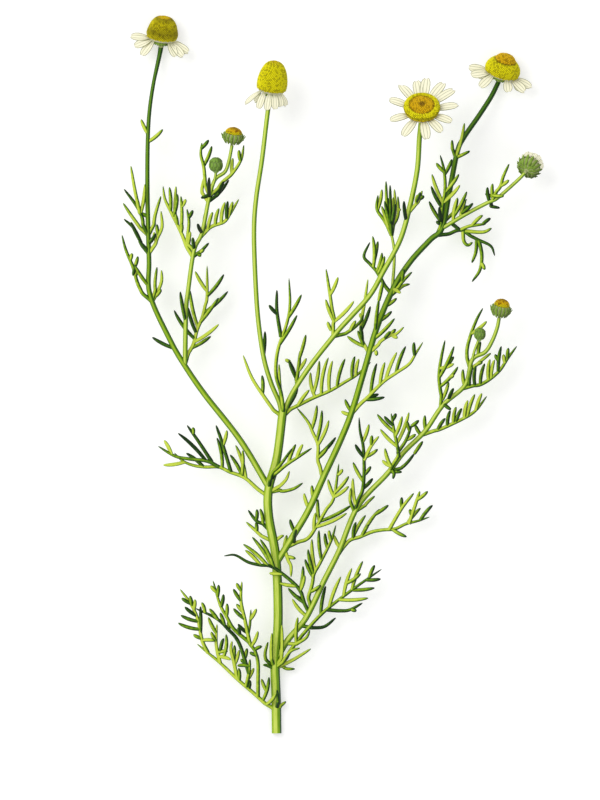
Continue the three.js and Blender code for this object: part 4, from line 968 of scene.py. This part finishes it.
# ---------------------------------------------------------------- leaves
# Each leaf is a soft green rib with narrow pointed lobes, channelled above and keeled below. At
# its foot it runs into the stem. Ribs and lobes are channelled sections carried along paths that
# bend up or down to find room among the other parts of the plant. Lobes whose roots are given one
# by one are tried at four places each, so some of them still touch a neighbour.
LEAVES = {
    "leaf_foot": ("272.5 706", (
        (7, "272 706, 253 693, 238 680, 220 663, 208 653, 197 644", "178 623, 181 615, 193 635"),
        (4, "208 653, 202 640, 198 620, 191 604, 180 589", "181 598, 190 596, 195 600, 184 606"),
        (2, "220 663, 217 650, 216 639, 217 624", "224 638"),
        (3, "237 679, 234 663, 231 650, 232 641", "239 650"),
        (3, "246 687, 249 672, 250 659", "255 667"),
        (9,
         "258 697, 258 680, 258 663, 255 651, 248 640, 250 624, 251 609",
         "257 609, 257 631, 262 646"),
        (5, "249 674, 239 643, 228 629, 216 618, 195 608", "202 602, 210 609, 220 613"),
        (4, "249 642, 234 629, 227 617, 220 604, 213 580", "218 585, 223 594, 211 585, 227 603"),
        (6, "250 644, 245 620, 241 600, 242 581", "237 582, 234 588, 234 608, 238 623"),
        (1, "273 706, 280 707, 286 702", ""),
        (3, "273 706, 278 700, 277 690", ""),
    )),
    "leaf_branching": ("275 665", (
        (5,
         "277 664, 291 650, 306 631, 325 611, 348 593, 366 580, 382 569",
         "375 565, 381 579, 340 577, 326 586, 352 568, 363 561, 375 588, 368.5 598, 298 617"),
        (-2, "327 610, 340 611, 350 610, 363 603", "357 611"),
        (-2, "309 628, 324 627, 336 618", ""),
        (2, "295 645, 306 638, 310 630", ""),
        (3, "275 665, 265 655, 268 642", ""),
        (3, "275 664, 271 650, 272 633", ""),
        (4, "276 664, 282 650, 282 625", ""),
        (1, "275 665, 263 665", ""),
        (5, "277 664, 290 652, 300 648", ""),
        (0, "277 665, 295 659, 311 649", ""),
        (-1, "276 666, 286 669, 295 669.5", ""),
    )),
    "leaf_across": ("307 606", (
        (5,
         "307 606, 299 589, 280 572, 270 566, 260 565, 248 562, 235 555, 223.5 556",
         "243 544, 252 537, 260 539, 245 550, 279 583, 288 588, 295.5 595, 292 599, 269 573, "
         "303 566"),
        (3,
         "308 605, 312 585, 314 574, 320 563, 331 541, 336 525",
         "308 549, 305 559, 312 539, 319 530, 325 533, 329 530"),
    )),
    "leaf_small": (None, (
        (1, "284 553, 289 562, 291 567, 291 577", "296 559"),
    )),
    "leaf_behind": ("274 538", (
        (-1, "274 539, 257 532, 246 522", ""),
        (1, "271 528, 263 524, 256 520.5, 248 510", "257 509, 260 509"),
        (0, "275 538, 284 535.5", ""),
    )),
    "leaf_third_low": (None, (
        (3,
         "292 546, 307 539, 316 527, 326 510, 334 497, 339 463",
         "343 469, 349 476, 349 486, 352 505, 347 513, 328 479, 318 499, 315 513"),
    )),
    "leaf_third_mid": (None, (
        (-3,
         "323 477, 318 461, 318 445, 313 433, 308 422, 297 408",
         "317 405, 322 410, 329 420, 336 437, 329 445, 343 454"),
    )),
    "leaf_fork_left": ("268.5 492", (
        (3,
         "268.5 492, 245 478, 230 472, 219 467, 206 467, 194 465.5, 183 461, 174 452.5",
         "163 465, 186 453, 217 438, 230 454.5, 235.5 445, 242 449"),
        (2, "219 467, 207 461, 190 459, 175 456, 158 446", "178 433, 164 440"),
        (2, "212 462, 199 442, 187 425", "193 427"),
        (3, "231 472, 222 442, 216 425", "227 430"),
    )),
    "leaf_fork_right": ("269 483", (
        (4, "268.5 486, 272 474, 281 464, 292.5 448", ""),
        (5, "273 476, 286 465, 298 457, 312 448", "296 444, 303 444"),
        (2, "269 489, 279 486.5, 286 479.5, 289.5 471", ""),
        (0, "269 490, 281 491, 293 489, 303 483", ""),
    )),
    "leaf_crown_left": ("282 413", (
        (5, "284 414, 281 393, 276 374, 278 350, 287 323, 290 304, 289 278", "301 295, 298 315"),
        (2, "281 337, 277 311, 277 290", "269 305"),
        (3, "281 413, 265 398, 252 378, 243 355", "262 375"),
        (-3, "283 412, 280 387, 279 364", ""),
        (-4, "284 412, 296 392, 295 374, 289 359", "285 359, 299.5 351, 306 359"),
    )),
    "leaf_crown_right": (None, (
        (-2,
         "282 414, 297 406, 313 398, 329.5 391, 345 382, 358 374, 371 362",
         "311 373, 319 360, 329 357, 333 360, 345 359, 354 357, 359 359, 310 390"),
    )),
    "leaf_facing_side": ("335 335", (
        (2,
         "335 335, 334 320, 332 309, 330 295, 328 282, 326 269",
         "338 277, 325 299, 354 301, 327 322"),
        (-2, "336 335, 351 330, 360 322, 363 315", "356 320"),
    )),
    "leaf_facing_top": (None, (
        (1, "408 209, 418 202, 422 191", "424 196, 415 195"),
    )),
    "leaf_third_upper": (None, (
        (2,
         "352 411, 368 397, 383 382, 396 373, 409 364, 416 353, 423 342",
         "353 388, 366 375, 377 363, 385 362, 397 352, 406 346, 414 342, 379 394, 385 397"),
    )),
    "leaf_third_pair": ("369.5 350", (
        (2, "370 350, 380 342, 389 336, 396 334, 404 327", "394 318, 396 329, 398 338, 378 355"),
        (-3, "369 350, 361 334, 362 318, 365 300, 368 279", "360 313, 347 336"),
    )),
    "leaf_third_top": ("392 292", (
        (-1, "392 292, 377 272, 370 264, 364 256, 370 242", "372 235, 378 240, 382 251, 384 256"),
        (-2, "393 292, 403 286, 410 284", ""),
        (3, "393 291, 403 281, 412 272", "404 269"),
    )),
    "shoot_tip": (None, (
        (0, "391 229, 384 220, 377 209, 378 195", "382 189"),
        (1, "391 229, 387 205, 386 181", ""),
        (2, "391 229, 390.5 208, 390 185", ""),
        (0, "391 229, 395 210, 394.5 189", ""),
        (-1, "391 229, 398 215, 398 196", "400 208"),
    )),
    "leaf_right_upright": (None, (
        (3.5,
         "440 230, 442 209, 445 190, 444 171, 440 155",
         "436 163, 432 174, 431 186, 429 201, 438 207, 436 221, 452 159, 459 174, 460 185, "
         "467 192"),
    )),
    "leaf_right_droop": ("438 232", (
        (-3, "439 232, 453 213, 460 206, 467 199", "458 198, 469 206, 473 203"),
        (-2, "439 232, 460 230, 471 236, 479 240, 491 246, 495 256", ""),
        (1, "460 230, 470 226, 486 224", "483 215, 491 218"),
        (-1, "465 231, 483 232, 492 228", ""),
        (-2, "463 231, 464 241, 468 245, 473 242", ""),
        (-3, "477 239, 476 252, 472 263", ""),
        (-2, "479 240, 482 255, 480 270, 472 282", "485 270"),
    )),
    "leaf_white_stalk": ("494 200", (
        (3, "495 200, 500 187, 503 177, 509 164", "487 187, 493 183, 509 180, 504 196"),
        (0, "494 200, 485 194", ""),
        (-2, "494 201, 491 206, 500 208", ""),
    )),
    "leaf_right_stalk": ("457 153", (
        (2, "457 153, 462 137, 464.5 123", ""),
        (0, "457 153, 452 140", ""),
        (-1, "457 153, 464 154, 470 151", ""),
    )),
    "leaf_left_open": (None, (
        (-4,
         "183 363, 193 345, 197 330, 202 318, 205 306, 207 296, 207 265",
         "195 271, 224 274, 190 290, 188 307, 219 298, 228 291, 219 324, 211 336, 174 310"),
    )),
    "leaf_left_second": ("150.5 297", (
        (2, "150 297, 138 284, 133 267, 126 250, 122 235", "132 253, 138 256, 137 270"),
        (-2, "151 297, 158 291, 161.5 281, 161.5 270", ""),
        (-1, "151 297, 155 283, 157 267", ""),
    )),
    "leaf_left_third": ("149 252", (
        (3, "149 252, 135 230, 124 219", "139 239"),
        (1, "149 252, 157 239, 162 227, 161 211", "157 224, 154 232"),
    )),
    "leaf_left_fourth": ("148 230", (
        (2, "148 230, 142 217, 136 205, 124 189", "145 184"),
        (-2, "148 230, 131 215, 123 203", ""),
        (4, "140 213, 135 190, 131 166", ""),
        (0, "148 230, 155 216, 161 196", ""),
    )),
    "leaf_second_low": ("194.5 252", (
        (-3, "194 252, 183 237, 178 226, 171 212, 165 199, 163 186", "169 187, 190 236"),
        (-1, "175 219, 175 204, 176 186", ""),
        (1, "181 232, 182 214, 181 196", "186 199"),
        (0, "187 243, 189 222, 187 209", "193 210"),
        (0, "195 252, 209 243", ""),
    )),
    "leaf_second_mid": (None, (
        (-2,
         "201 234, 213 226, 224 222, 230 214, 239 199",
         "206 210, 213 212, 219 208, 225 202, 233 201"),
    )),
    "leaf_second_upper": ("209 200", (
        (-2, "209 200, 222 190, 229 180", ""),
        (1, "209 200, 201 198", ""),
        (0, "209 200, 202 191, 204 178", ""),
    )),
    "leaf_second_top": ("210.5 193", (
        (2, "210 193, 204 168, 201 155, 202 143", "209 140, 212 146"),
        (-3, "211 193, 222 183, 232 174, 241 160, 244 145", "239 150, 233 158"),
    )),
    "leaf_fourth_low": (None, (
        (-1,
         "336 557, 349 541, 360 537, 372 532, 383 530, 395 529, 406 524, 418 521, 430 517",
         "356 521, 366 515, 380 509, 388 505, 421 508, 433 505, 407 537"),
        (2, "389 530, 402 508, 414 493", "402 497"),
        (2, "409 524, 416 503, 420 491", "428 491, 410 509"),
    )),
    "leaf_fourth_mid": ("357 508", (
        (3,
         "357 508, 362 492, 364 475, 364 460, 363 445, 360 431, 359 417",
         "369 424, 355 444, 353 462, 353 478, 371 466, 373 478"),
        (1, "364 460, 371 446, 379 436", "372 435, 378 449"),
        (1, "357 508, 350 499, 351 488", ""),
        (-1, "358 508, 367 503, 375 496", ""),
    )),
    "leaf_fourth_bushy": ("392 470", (
        (3,
         "393 470, 398 456, 397 445, 394 431, 391 413",
         "377 414, 384 416, 396 413, 380 429, 385 448, 382 460, 402 416, 409 412"),
        (0, "398 452, 406 440, 412 424", "419 420, 407 421, 416 434"),
        (-2, "392 470, 406 464, 415 453", "423 441"),
        (-1, "392 470, 402 472", ""),
        (0, "391 471, 393 479", ""),
    )),
    "leaf_fourth_upper": (None, (
        (-1,
         "424 432, 438 430, 452 424, 468 416, 477 409, 487 396",
         "482 393, 475 394, 468 400, 456 407, 450 410, 446 418"),
    )),
    "leaf_fourth_left": (None, (
        (2,
         "443 406, 440 388, 439 375, 441 359, 445 340",
         "454 346, 454 357, 458 367, 453 375, 453 388"),
    )),
    "leaf_fourth_right": (None, (
        (-2,
         "465 386, 479 385, 490 379, 500 370, 508 358, 517 346",
         "508 347, 501 346, 495 354, 490 359, 485 363, 476 366"),
    )),
    "leaf_fourth_top": ("471 366", (
        (-2, "471 366, 467 350, 471 334, 477 319, 483 308", "487 321"),
        (-1, "472 366, 482 360, 491 353", ""),
    )),
}

STEM_LOBES = (
    "148 135 141 119, 149 143 163 129, 171 351 152 337, 267 355 265 331, 352 411 345 399, "
    "350 413 341 411, 387 306 397 298, 382 322 392 311, 425 431 425 415, 422 434 415 424, "
    "465 385 463 369, 340 548 334 535, 306 508 304 493, 314 500 312 485, 296 534 290 519, "
    "281 550 287 535"
)
LEAF_SECTION = {"Sides": 12, "Ribs": 0, "Rib depth": 0.0, "Flatness": 0.75, "Channel": 0.45}
SAME_TIP = 2.0  # plan units within which two tips are one lobe
RIB_HALF_WIDTH = 0.66
LOBE_HALF_WIDTH = 0.7
# More lobes of a leaf, each from the x y of its root to the x y of its tip. One whose tip is also
# in LEAVES takes that lobe's place.
MORE_LOBES = {
    "leaf_foot":
    "203.9 632.5 200.5 606, 209.3 632.5 208.4 617, 206.3 638.8 215.5 641, 220 652 228 651.5, "
    "222 656 231 660, 224 655 226 634, 234 660 234.5 645, 247.5 666.5 237 666, 246.5 664 240.5 659, "
    "245 660 247 648, 240 634 238 627, 255.5 656 249.5 652, 230 629 228 621, 240 681 238.5 668, "
    "250.5 688 249.5 680, 268.5 702 276 694, 200.4 638.8 193.2 634.3, 187 624.5 180.7 615, "
    "197 629 178 622.7, 194 616.4 184.7 606.6, 191.4 605.7 190 595.4, 194 609.3 195 599, "
    "189.2 604.4 181.6 597.7, 215.5 641.4 211 631.6, 220 650 224 638, 235.6 664.6 239.2 650, "
    "248 680 254 668, 264 700 269 677, 264.5 691 261.5 679, 205.7 612 201.7 602, "
    "218.2 618.2 209.3 608.4, 225.4 624.5 220 612.4, 214.6 591.4 210.6 585.2, 218.2 596.8 218.7 584.3, "
    "222.7 605.7 223.6 593.7, 229.8 614.6 227 603, 240.5 590.5 236.5 582.5, 238.8 600.4 233.4 588.3, "
    "240 612 236.5 603.5, 243.2 619 233.4 608, 245 632.5 237.9 623.6, 256.2 649.5 262.4 646.3, "
    "253.9 643.2 258 630.7, 252 620 256.6 608.4",
    "leaf_branching": "348 584 361 573.3, 327.5 604 341 576.5",
    "leaf_across": "304 590 304.7 575, 305.5 600 295.5 595, 301.5 614 292.2 598.8, 307 591 321 585",
    "leaf_behind": "256 520.5 256.8 509, 263 524 260 508.5, 256.5 532 255.8 522",
    "leaf_third_low": "313.4 530 315.6 512.5, 294 542 296.5 529",
    "leaf_fork_left": "242 475 242.7 450, 223.5 465 216.8 437.5",
    "leaf_crown_left":
    "289.5 318 301.6 294.7, 281.5 346 297.3 315.1, 297 382 300 350.5, 303.5 358 306 334.5, "
    "295 378 288.7 360, 302 372 306.5 358",
    "leaf_crown_right":
    "313.7 392.7 310.6 372.2, 314.5 393 319.3 360.5, 320 392.5 328.5 357.4, 329 391 332.6 360.5, "
    "337 386 345.3 358.5, 351.4 376.5 355 356, 354.5 374.5 359 358.5, 295.3 401.8 309.6 389.6",
    "leaf_facing_side": "332 321 325.6 299.3, 334 332 327.5 321.5, 350 330 356 320.5",
    "leaf_facing_top": "415 203 417.5 195, 416 202 420 193, 397 218 403.6 201.5",
    "leaf_third_pair":
    "367 340 360.5 325.5, 365 346 357.6 330.4, 375.5 340.5 394.8 318.2, 373.5 350 376.5 356, "
    "386 340 390.7 331.4, 371.5 333 379 299, 363 331 370.5 306, 380 298 383 281",
    "leaf_third_top":
    "373.5 267 372.5 236, 377 262 378 241, 379 270 382 252.5, 380 272 384.5 256, 394 290 400.5 293.5",
    "shoot_tip":
    "390 225 384.5 201, 391 222 391.5 199, 392 225 395.5 204, 389 228 381.5 206, 390 215 387.5 197, "
    "390.5 218 393.5 197",
    "leaf_right_upright": "452 219 457.6 197.6, 455 217 466.8 191.5, 443 222 439 207",
    "leaf_right_droop": "459 216 466 200, 463 214 473 203",
    "leaf_white_stalk": "489.5 200 487.5 187, 493 199 492.6 183.5",
    "leaf_left_open": "198 322 218.7 297.5, 185 322 180.4 291.5",
    "leaf_left_second": "146 286 135.5 266, 153 295 161.5 289, 135 265 133 276",
    "leaf_left_third": "149.5 243 156 233.5, 147 250 138.5 240, 143 240 131 222",
    "leaf_left_fourth": "137.5 208 137.5 199.5",
    "leaf_second_low":
    "170.5 211 169.5 187, 174 216 177.6 194, 177 225 175.5 214, 188.5 244 190.6 231.5, "
    "192 249 193 237.5, 198 251 204.5 249, 197 253.5 201.5 255.5, 182 232 182 223",
    "leaf_second_mid":
    "208 229 213 212, 216 226 219.3 208.3, 221.5 223 225.3 202, 226.5 219 228 201, "
    "229.5 215.5 233 201.6, 200 232 197.8 224",
    "leaf_second_upper": "214 196 219.7 186, 219 192.5 224 181.5, 208.5 197 209.5 178",
    "leaf_fourth_low": "379.5 518 388.8 505, 353.5 540.7 356.2 521.8, 363.3 536.5 369 524.5",
    "leaf_fourth_left":
    "449 369 454 363.5, 441 378 454 346, 447 366 454 356.5, 442.5 386 458 366.5, 449 377 453.6 375, "
    "444.6 400 448.7 381.6, 447.3 398.6 453.6 388",
    "leaf_fourth_right":
    "497.5 371 501.3 346, 499 361 495 354, 487.5 379.5 490 359, 490.5 378 494.5 359.5, "
    "480 382.5 484.8 363.3, 474.5 383 476 365.5, 469.6 383.5 472.5 366.5, 504.5 362 503.6 354, "
    "506.3 358.4 508.5 347.7",
    "leaf_fourth_upper":
    "476 411 482 393, 466.5 415 475 394, 464 417 468 400, 452.7 423 456.3 406.6, 456 421 462 408, "
    "447.5 425 450.4 410, 437 429 445.5 418",
    "leaf_fourth_top": "478.6 355.7 480.8 341.4, 475 361.5 482.6 361.5, 445.5 405.7 451 409.5",
}
RIB_REACH = 0.8  # half the room that a rib keeps for itself
LOBE_REACH = 0.55  # and a lobe
LOBE_ANGLE = 0.57  # radians between a lobe and the rib it leaves
# Millimetres that a rib is raised by, and degrees that a lobe is tilted by, tried in this order
RIB_LIFTS = (0, 2, -2, 4, -4, 6, -6, 8, -8, 10, -10)
LOBE_TILTS = (0, 12, -12, 24, -24, 36, -36, 48, -48)
LOBE_SWING = 18.0  # degrees that lobes lean out of the rib's plane, up and down by turns
MORE_TILTS = (15, 0, 30, -15, 45, -30, 60, -45)
GOLDEN_TURN = 2.399963  # radians
ROOT_LENGTH = 4.5  # of a rib, where it may touch its stem
CLASP = 0.45  # half the room kept for a leaf's foot round its stem
CLASP_REACH = 3.0


def rib_room(t):
    return np.where(t < 0.8, RIB_REACH - 0.12 * t, (RIB_REACH - 0.1) * (1 - t) * 5)


def lobe_room(t):
    return np.where(t < 0.6, LOBE_REACH, LOBE_REACH * (1 - t) * 2.5)


def nearest_stem(x, y):
    """The place on a stem that is nearest to a plan point: place, direction and half width."""
    best = None
    for path, length, widths in stems:
        t = np.arange(math.ceil(length) + 1) / math.ceil(length)
        places = path(t)
        apart = np.linalg.norm(places[:, :2] - on_plan(x, y, 0)[:2], axis=1)
        i = int(apart.argmin())
        if best is None or apart[i] < best[0]:
            best = (apart[i], places[i], heading(path, t[i]), float(stem_radius(t[i], *widths)))
    return best[1:]


def clasp_at(sheath):
    place, direction, radius = nearest_stem(*points(sheath)[0])
    return place, direction, radius + GAP + CLASP + 0.2


def circle_round(place, direction, radius, count):
    side = unit(np.cross(direction, (0.0, 0.0, 1.0)))
    top = np.cross(side, direction)
    angles = np.arange(count) * 2 * math.pi / count
    return place + radius * (np.cos(angles)[:, None] * side + np.sin(angles)[:, None] * top)


def lowest_height(x, y, ribs):
    """The height of a rib's root, and whether another rib of its leaf carries it."""
    best, height, on_rib = 4 / UNITS_PER_MM, nearest_stem(x, y)[0][2], False
    for path in ribs:
        places = path(np.linspace(0, 1, 41))
        apart = np.linalg.norm(places[:, :2] - on_plan(x, y, 0)[:2], axis=1)
        i = int(apart.argmin())
        if apart[i] < best:
            best, height, on_rib = apart[i], places[i, 2], True
    return height, on_rib


def rib_path(text, rise, height, clasp, on_rib):
    plan = points(text)
    route = []
    for i, (x, y) in enumerate(plan):
        rest = 1 - i / (len(plan) - 1)
        route.append(on_plan(x, y, height + rise * (1 - rest * rest)))
    if clasp and np.linalg.norm(route[0] - clasp[0]) < CLASP_REACH:
        outward = route[1] - clasp[0]
        outward = unit(outward - clasp[1] * outward.dot(clasp[1]))
        route[0] = clasp[0] + outward * clasp[2]
    elif not on_rib:
        place, _, radius = nearest_stem(*plan[0])
        route[0] = place + unit(route[1] - place) * (radius + GAP)
    return smooth_path(route)


def lobe_path(rib, tip_x, tip_y, tilt):
    best = None
    for i in range(1, 30):
        root = rib(i / 30)
        along = heading(rib, i / 30) * (1, 1, 0)
        along = unit(along)
        chord = on_plan(tip_x, tip_y, root[2]) - root
        reach = np.linalg.norm(chord)
        turn = math.acos(max(-1.0, min(1.0, chord.dot(along) / reach)))
        cost = abs(turn - LOBE_ANGLE) + reach * 0.03
        if best is None or cost < best[0]:
            best = (cost, root, along, chord, reach)
    return bowed_path(*best[1:4], tilt)


def bowed_path(root, along, chord, tilt):
    """A lobe from its root along a chord, bowed towards the heading of what it grows on."""
    reach = np.linalg.norm(chord)
    tip = root + chord
    tip[2] += reach * math.tan(math.radians(tilt))
    bulge = chord * (along.dot(chord) / chord.dot(chord)) - along
    middle = (root + tip) / 2 + bulge * reach * 0.14

    def path(t):
        w = np.asarray(t, float)[..., None]
        return root * (1 - w) ** 2 + middle * 2 * w * (1 - w) + tip * w**2

    return path


taken = {"at": np.zeros((0, 3)), "radius": np.zeros(0), "owner": np.zeros(0, int)}
owners = ["stem"]


def keep_room(at, radius, owner):
    if owner not in owners:
        owners.append(owner)
    taken["at"] = np.vstack((taken["at"], at))
    taken["radius"] = np.append(taken["radius"], radius)
    taken["owner"] = np.append(taken["owner"], np.full(len(at), owners.index(owner)))


def has_room(at, radius, owner, own_reach):
    if (at[:, 2] <= radius + 0.15).any():
        return False
    apart = np.linalg.norm(at[:, None] - taken["at"][None], axis=2)
    apart = apart - radius[:, None] - taken["radius"][None]
    own = taken["owner"] == (owners.index(owner) if owner in owners else -1)
    if (apart[:, ~own] <= GAP).any():
        return False
    return not (apart[:, own][own_reach:] <= 0).any()


def clear_path(choices, room, owner, skip):
    """The first of the choices that has room, past the root that it may share with its leaf."""
    for own_reach in (3, 10**6):
        for path in choices:
            length = path_length(path)
            start = min(0.9, skip / length)
            t = np.linspace(start, 1, math.ceil(length / 0.7))
            at, radius = path(t), room(t)
            if has_room(at, radius, owner, own_reach):
                keep_room(at, radius, owner)
                return path
    return None


def leaf_skin():
    material, tree, shader = new_material("leaf_skin", 0.48)
    nodes, link = tree.nodes, tree.links.new
    calc = maths(tree)
    mottle = nodes.new("ShaderNodeTexNoise")
    mottle.inputs["Scale"].default_value = 900.0
    mottle.inputs["Detail"].default_value = 3.0
    link(nodes.new("ShaderNodeTexCoord").outputs["Object"], mottle.inputs["Vector"])
    # Painted light and shade: lobes are lighter where they face the upper left and darker where they face
    # away.
    side = nodes.new("ShaderNodeVectorMath")
    side.operation = "DOT_PRODUCT"
    side.inputs[1].default_value = (-0.5, 0.18, 0.85)
    link(folded_direction(tree), side.inputs[0])
    light = calc("MULTIPLY", side.outputs["Value"], 0.68)
    light = calc("MULTIPLY_ADD", read_value(tree, "tone"), 0.4, light)
    light = calc("MULTIPLY_ADD", mottle.outputs["Fac"], 0.22, light)
    tip = calc("POWER", read_value(tree, "reach"), 5.0)
    light = calc("MULTIPLY_ADD", tip, -0.25, light)
    stops = ((0.36, (0.0015, 0.012, 0.001)), (0.6, (0.008, 0.045, 0.002)),
             (0.73, (0.07, 0.19, 0.003)), (0.83, (0.26, 0.43, 0.006)), (0.95, (0.58, 0.7, 0.07)))
    link(colour_ramp(tree, stops, light), shader.inputs["Base Color"])
    bump = nodes.new("ShaderNodeBump")
    bump.inputs["Strength"].default_value = 0.25
    bump.inputs["Distance"].default_value = 0.0001
    link(mottle.outputs["Fac"], bump.inputs["Height"])
    link(bump.outputs["Normal"], shader.inputs["Normal"])
    return material


def belly(t):
    return (0.78 + 0.5 * t - 0.35 * t * t) * np.sqrt(np.maximum(0, 1 - t**4)) + 0.02


for path, length, widths in stems:
    t = np.linspace(0, 1, math.ceil(length / 0.8))
    keep_room(path(t), stem_radius(t, *widths), "stem")
for name, at, radius in rooms:
    keep_room(np.array([at]), np.array([radius]), name)
for name, (sheath, _) in LEAVES.items():
    if sheath:
        place, direction, radius = clasp_at(sheath)
        keep_room(circle_round(place, direction, radius, 8), np.full(8, CLASP), name)

leaf_ribs = {}
for name, (sheath, ribs) in LEAVES.items():
    clasp = clasp_at(sheath) if sheath else None
    grown_ribs = []
    for lift, text, _ in ribs:
        height, on_rib = lowest_height(*points(text)[0], grown_ribs)
        choices = [rib_path(text, lift + more, height, clasp, on_rib) for more in RIB_LIFTS]
        grown_ribs.append(clear_path(choices, rib_room, name, ROOT_LENGTH) or choices[0])
    leaf_ribs[name] = grown_ribs


def placed_by_root(tip_x, tip_y, name):
    """Whether a lobe is one of those whose root is given too."""
    given = points(MORE_LOBES[name]) if name in MORE_LOBES else ()
    return any(math.hypot(x - tip_x, y - tip_y) < SAME_TIP for _, _, x, y in given)


leaf_material = leaf_skin()
turn = 0
leaf_lobes = {}
for name, (sheath, ribs) in LEAVES.items():
    leaf_lobes[name] = []
    for (_, _, tips), rib in zip(ribs, leaf_ribs[name]):
        for tip_x, tip_y in points(tips) if tips else ():
            turn += 1
            if placed_by_root(tip_x, tip_y, name):
                continue
            lean = LOBE_SWING * math.sin(turn * GOLDEN_TURN)
            choices = [lobe_path(rib, tip_x, tip_y, lean + tilt) for tilt in LOBE_TILTS]
            lobe = clear_path(choices, lobe_room, name, 1.2)
            if lobe:
                leaf_lobes[name].append(lobe)

stem_lobes = []
for x, y, tip_x, tip_y in points(STEM_LOBES):
    place, direction, radius = nearest_stem(x, y)
    chord = on_plan(tip_x, tip_y, place[2]) - place
    choices = [bowed_path(place, direction, chord, tilt) for tilt in LOBE_TILTS]
    lobe = clear_path(choices, lobe_room, "stem", radius + 1)
    if lobe:
        stem_lobes.append(lobe)


def spare_path(choices, name):
    for path in choices:
        t = np.linspace(0.35, 1, 4)
        at, radius = path(t), np.full(4, 0.45)
        if has_room(at, radius, name, 1):
            keep_room(at, radius, name)
            return path
    return None


def spare_lobe(x, y, tip_x, tip_y, name):
    """One more lobe near a plan point, on the rib, lobe or stem that passes closest to it."""
    best = None
    for path in leaf_ribs[name] + leaf_lobes[name] + [path for path, _, _ in stems]:
        t = np.linspace(0, 0.95, 60 if path_length(path) < 60 else 300)
        apart = np.linalg.norm(path(t)[:, :2] - on_plan(x, y, 0)[:2], axis=1)
        i = int(apart.argmin())
        if best is None or apart[i] < best[0] - 0.3:
            best = (apart[i], path(t[i]), heading(path, t[i]))
    root, along = best[1:]
    chord = on_plan(tip_x, tip_y, root[2]) - root
    if along.dot(chord) < 0:
        along = -along
    choices = [bowed_path(root, unit(along * (1, 1, 0)), chord, tilt) for tilt in MORE_TILTS]
    return spare_path(choices, name)


def rooted_places(rib, place, direction, radius):
    """Points along a rib that leaves its stem at a slant, from the stem's axis outwards."""
    t = np.linspace(0, 1, 60)
    off = np.linalg.norm(rib(t) - place, axis=1)
    first = min(20, int(np.argmax(off > radius + 2.2)))
    lead = place - direction * 1.2 * (1 if direction.dot(rib(1.0) - place) > 0 else -1)
    swing = smooth_path([lead, (lead + rib(t[first])) / 2, rib(t[first]), rib(t[first + 4])])
    places = np.vstack((swing(np.linspace(0, 0.9, 10)), rib(t[first + 4:])))
    step = np.append(0, np.cumsum(np.linalg.norm(np.diff(places, axis=0), axis=1)))
    return places, step / step[-1]


for number, (name, (sheath, ribs)) in enumerate(LEAVES.items()):
    strands = []
    for (_, text, _), rib in zip(ribs, leaf_ribs[name]):
        place, direction, radius = nearest_stem(*points(text)[0])
        if np.linalg.norm(rib(0.0) - place) < CLASP_REACH + 1.5:
            places, t = rooted_places(rib, place, direction, radius)
        else:
            places, t = sample(rib, 0.5)
        strands.append((places, RIB_HALF_WIDTH * (1 - 0.25 * t) * np.sqrt(1 - t**8) + 0.02, False))
    for place in points(MORE_LOBES[name]) if name in MORE_LOBES else ():
        lobe = spare_lobe(*place, name)
        if lobe:
            leaf_lobes[name].append(lobe)
    for lobe in leaf_lobes[name]:
        places, t = sample(lobe, 0.4)
        strands.append((places, LOBE_HALF_WIDTH * belly(t), False))
    leaf = grown(paths_object(f"{name}_blade", strands), section,
                 {**LEAF_SECTION, "Seed": number, "Material": leaf_material})
    hand_over(leaf, "leaf", name)

strands = []
for lobe in stem_lobes:
    places, t = sample(lobe, 0.4)
    strands.append((places, LOBE_HALF_WIDTH * belly(t), False))
lone_lobes = grown(paths_object("lobes_on_stem", strands), section,
                   {**LEAF_SECTION, "Seed": 99, "Material": leaf_material})
hand_over(lone_lobes, "leaf")
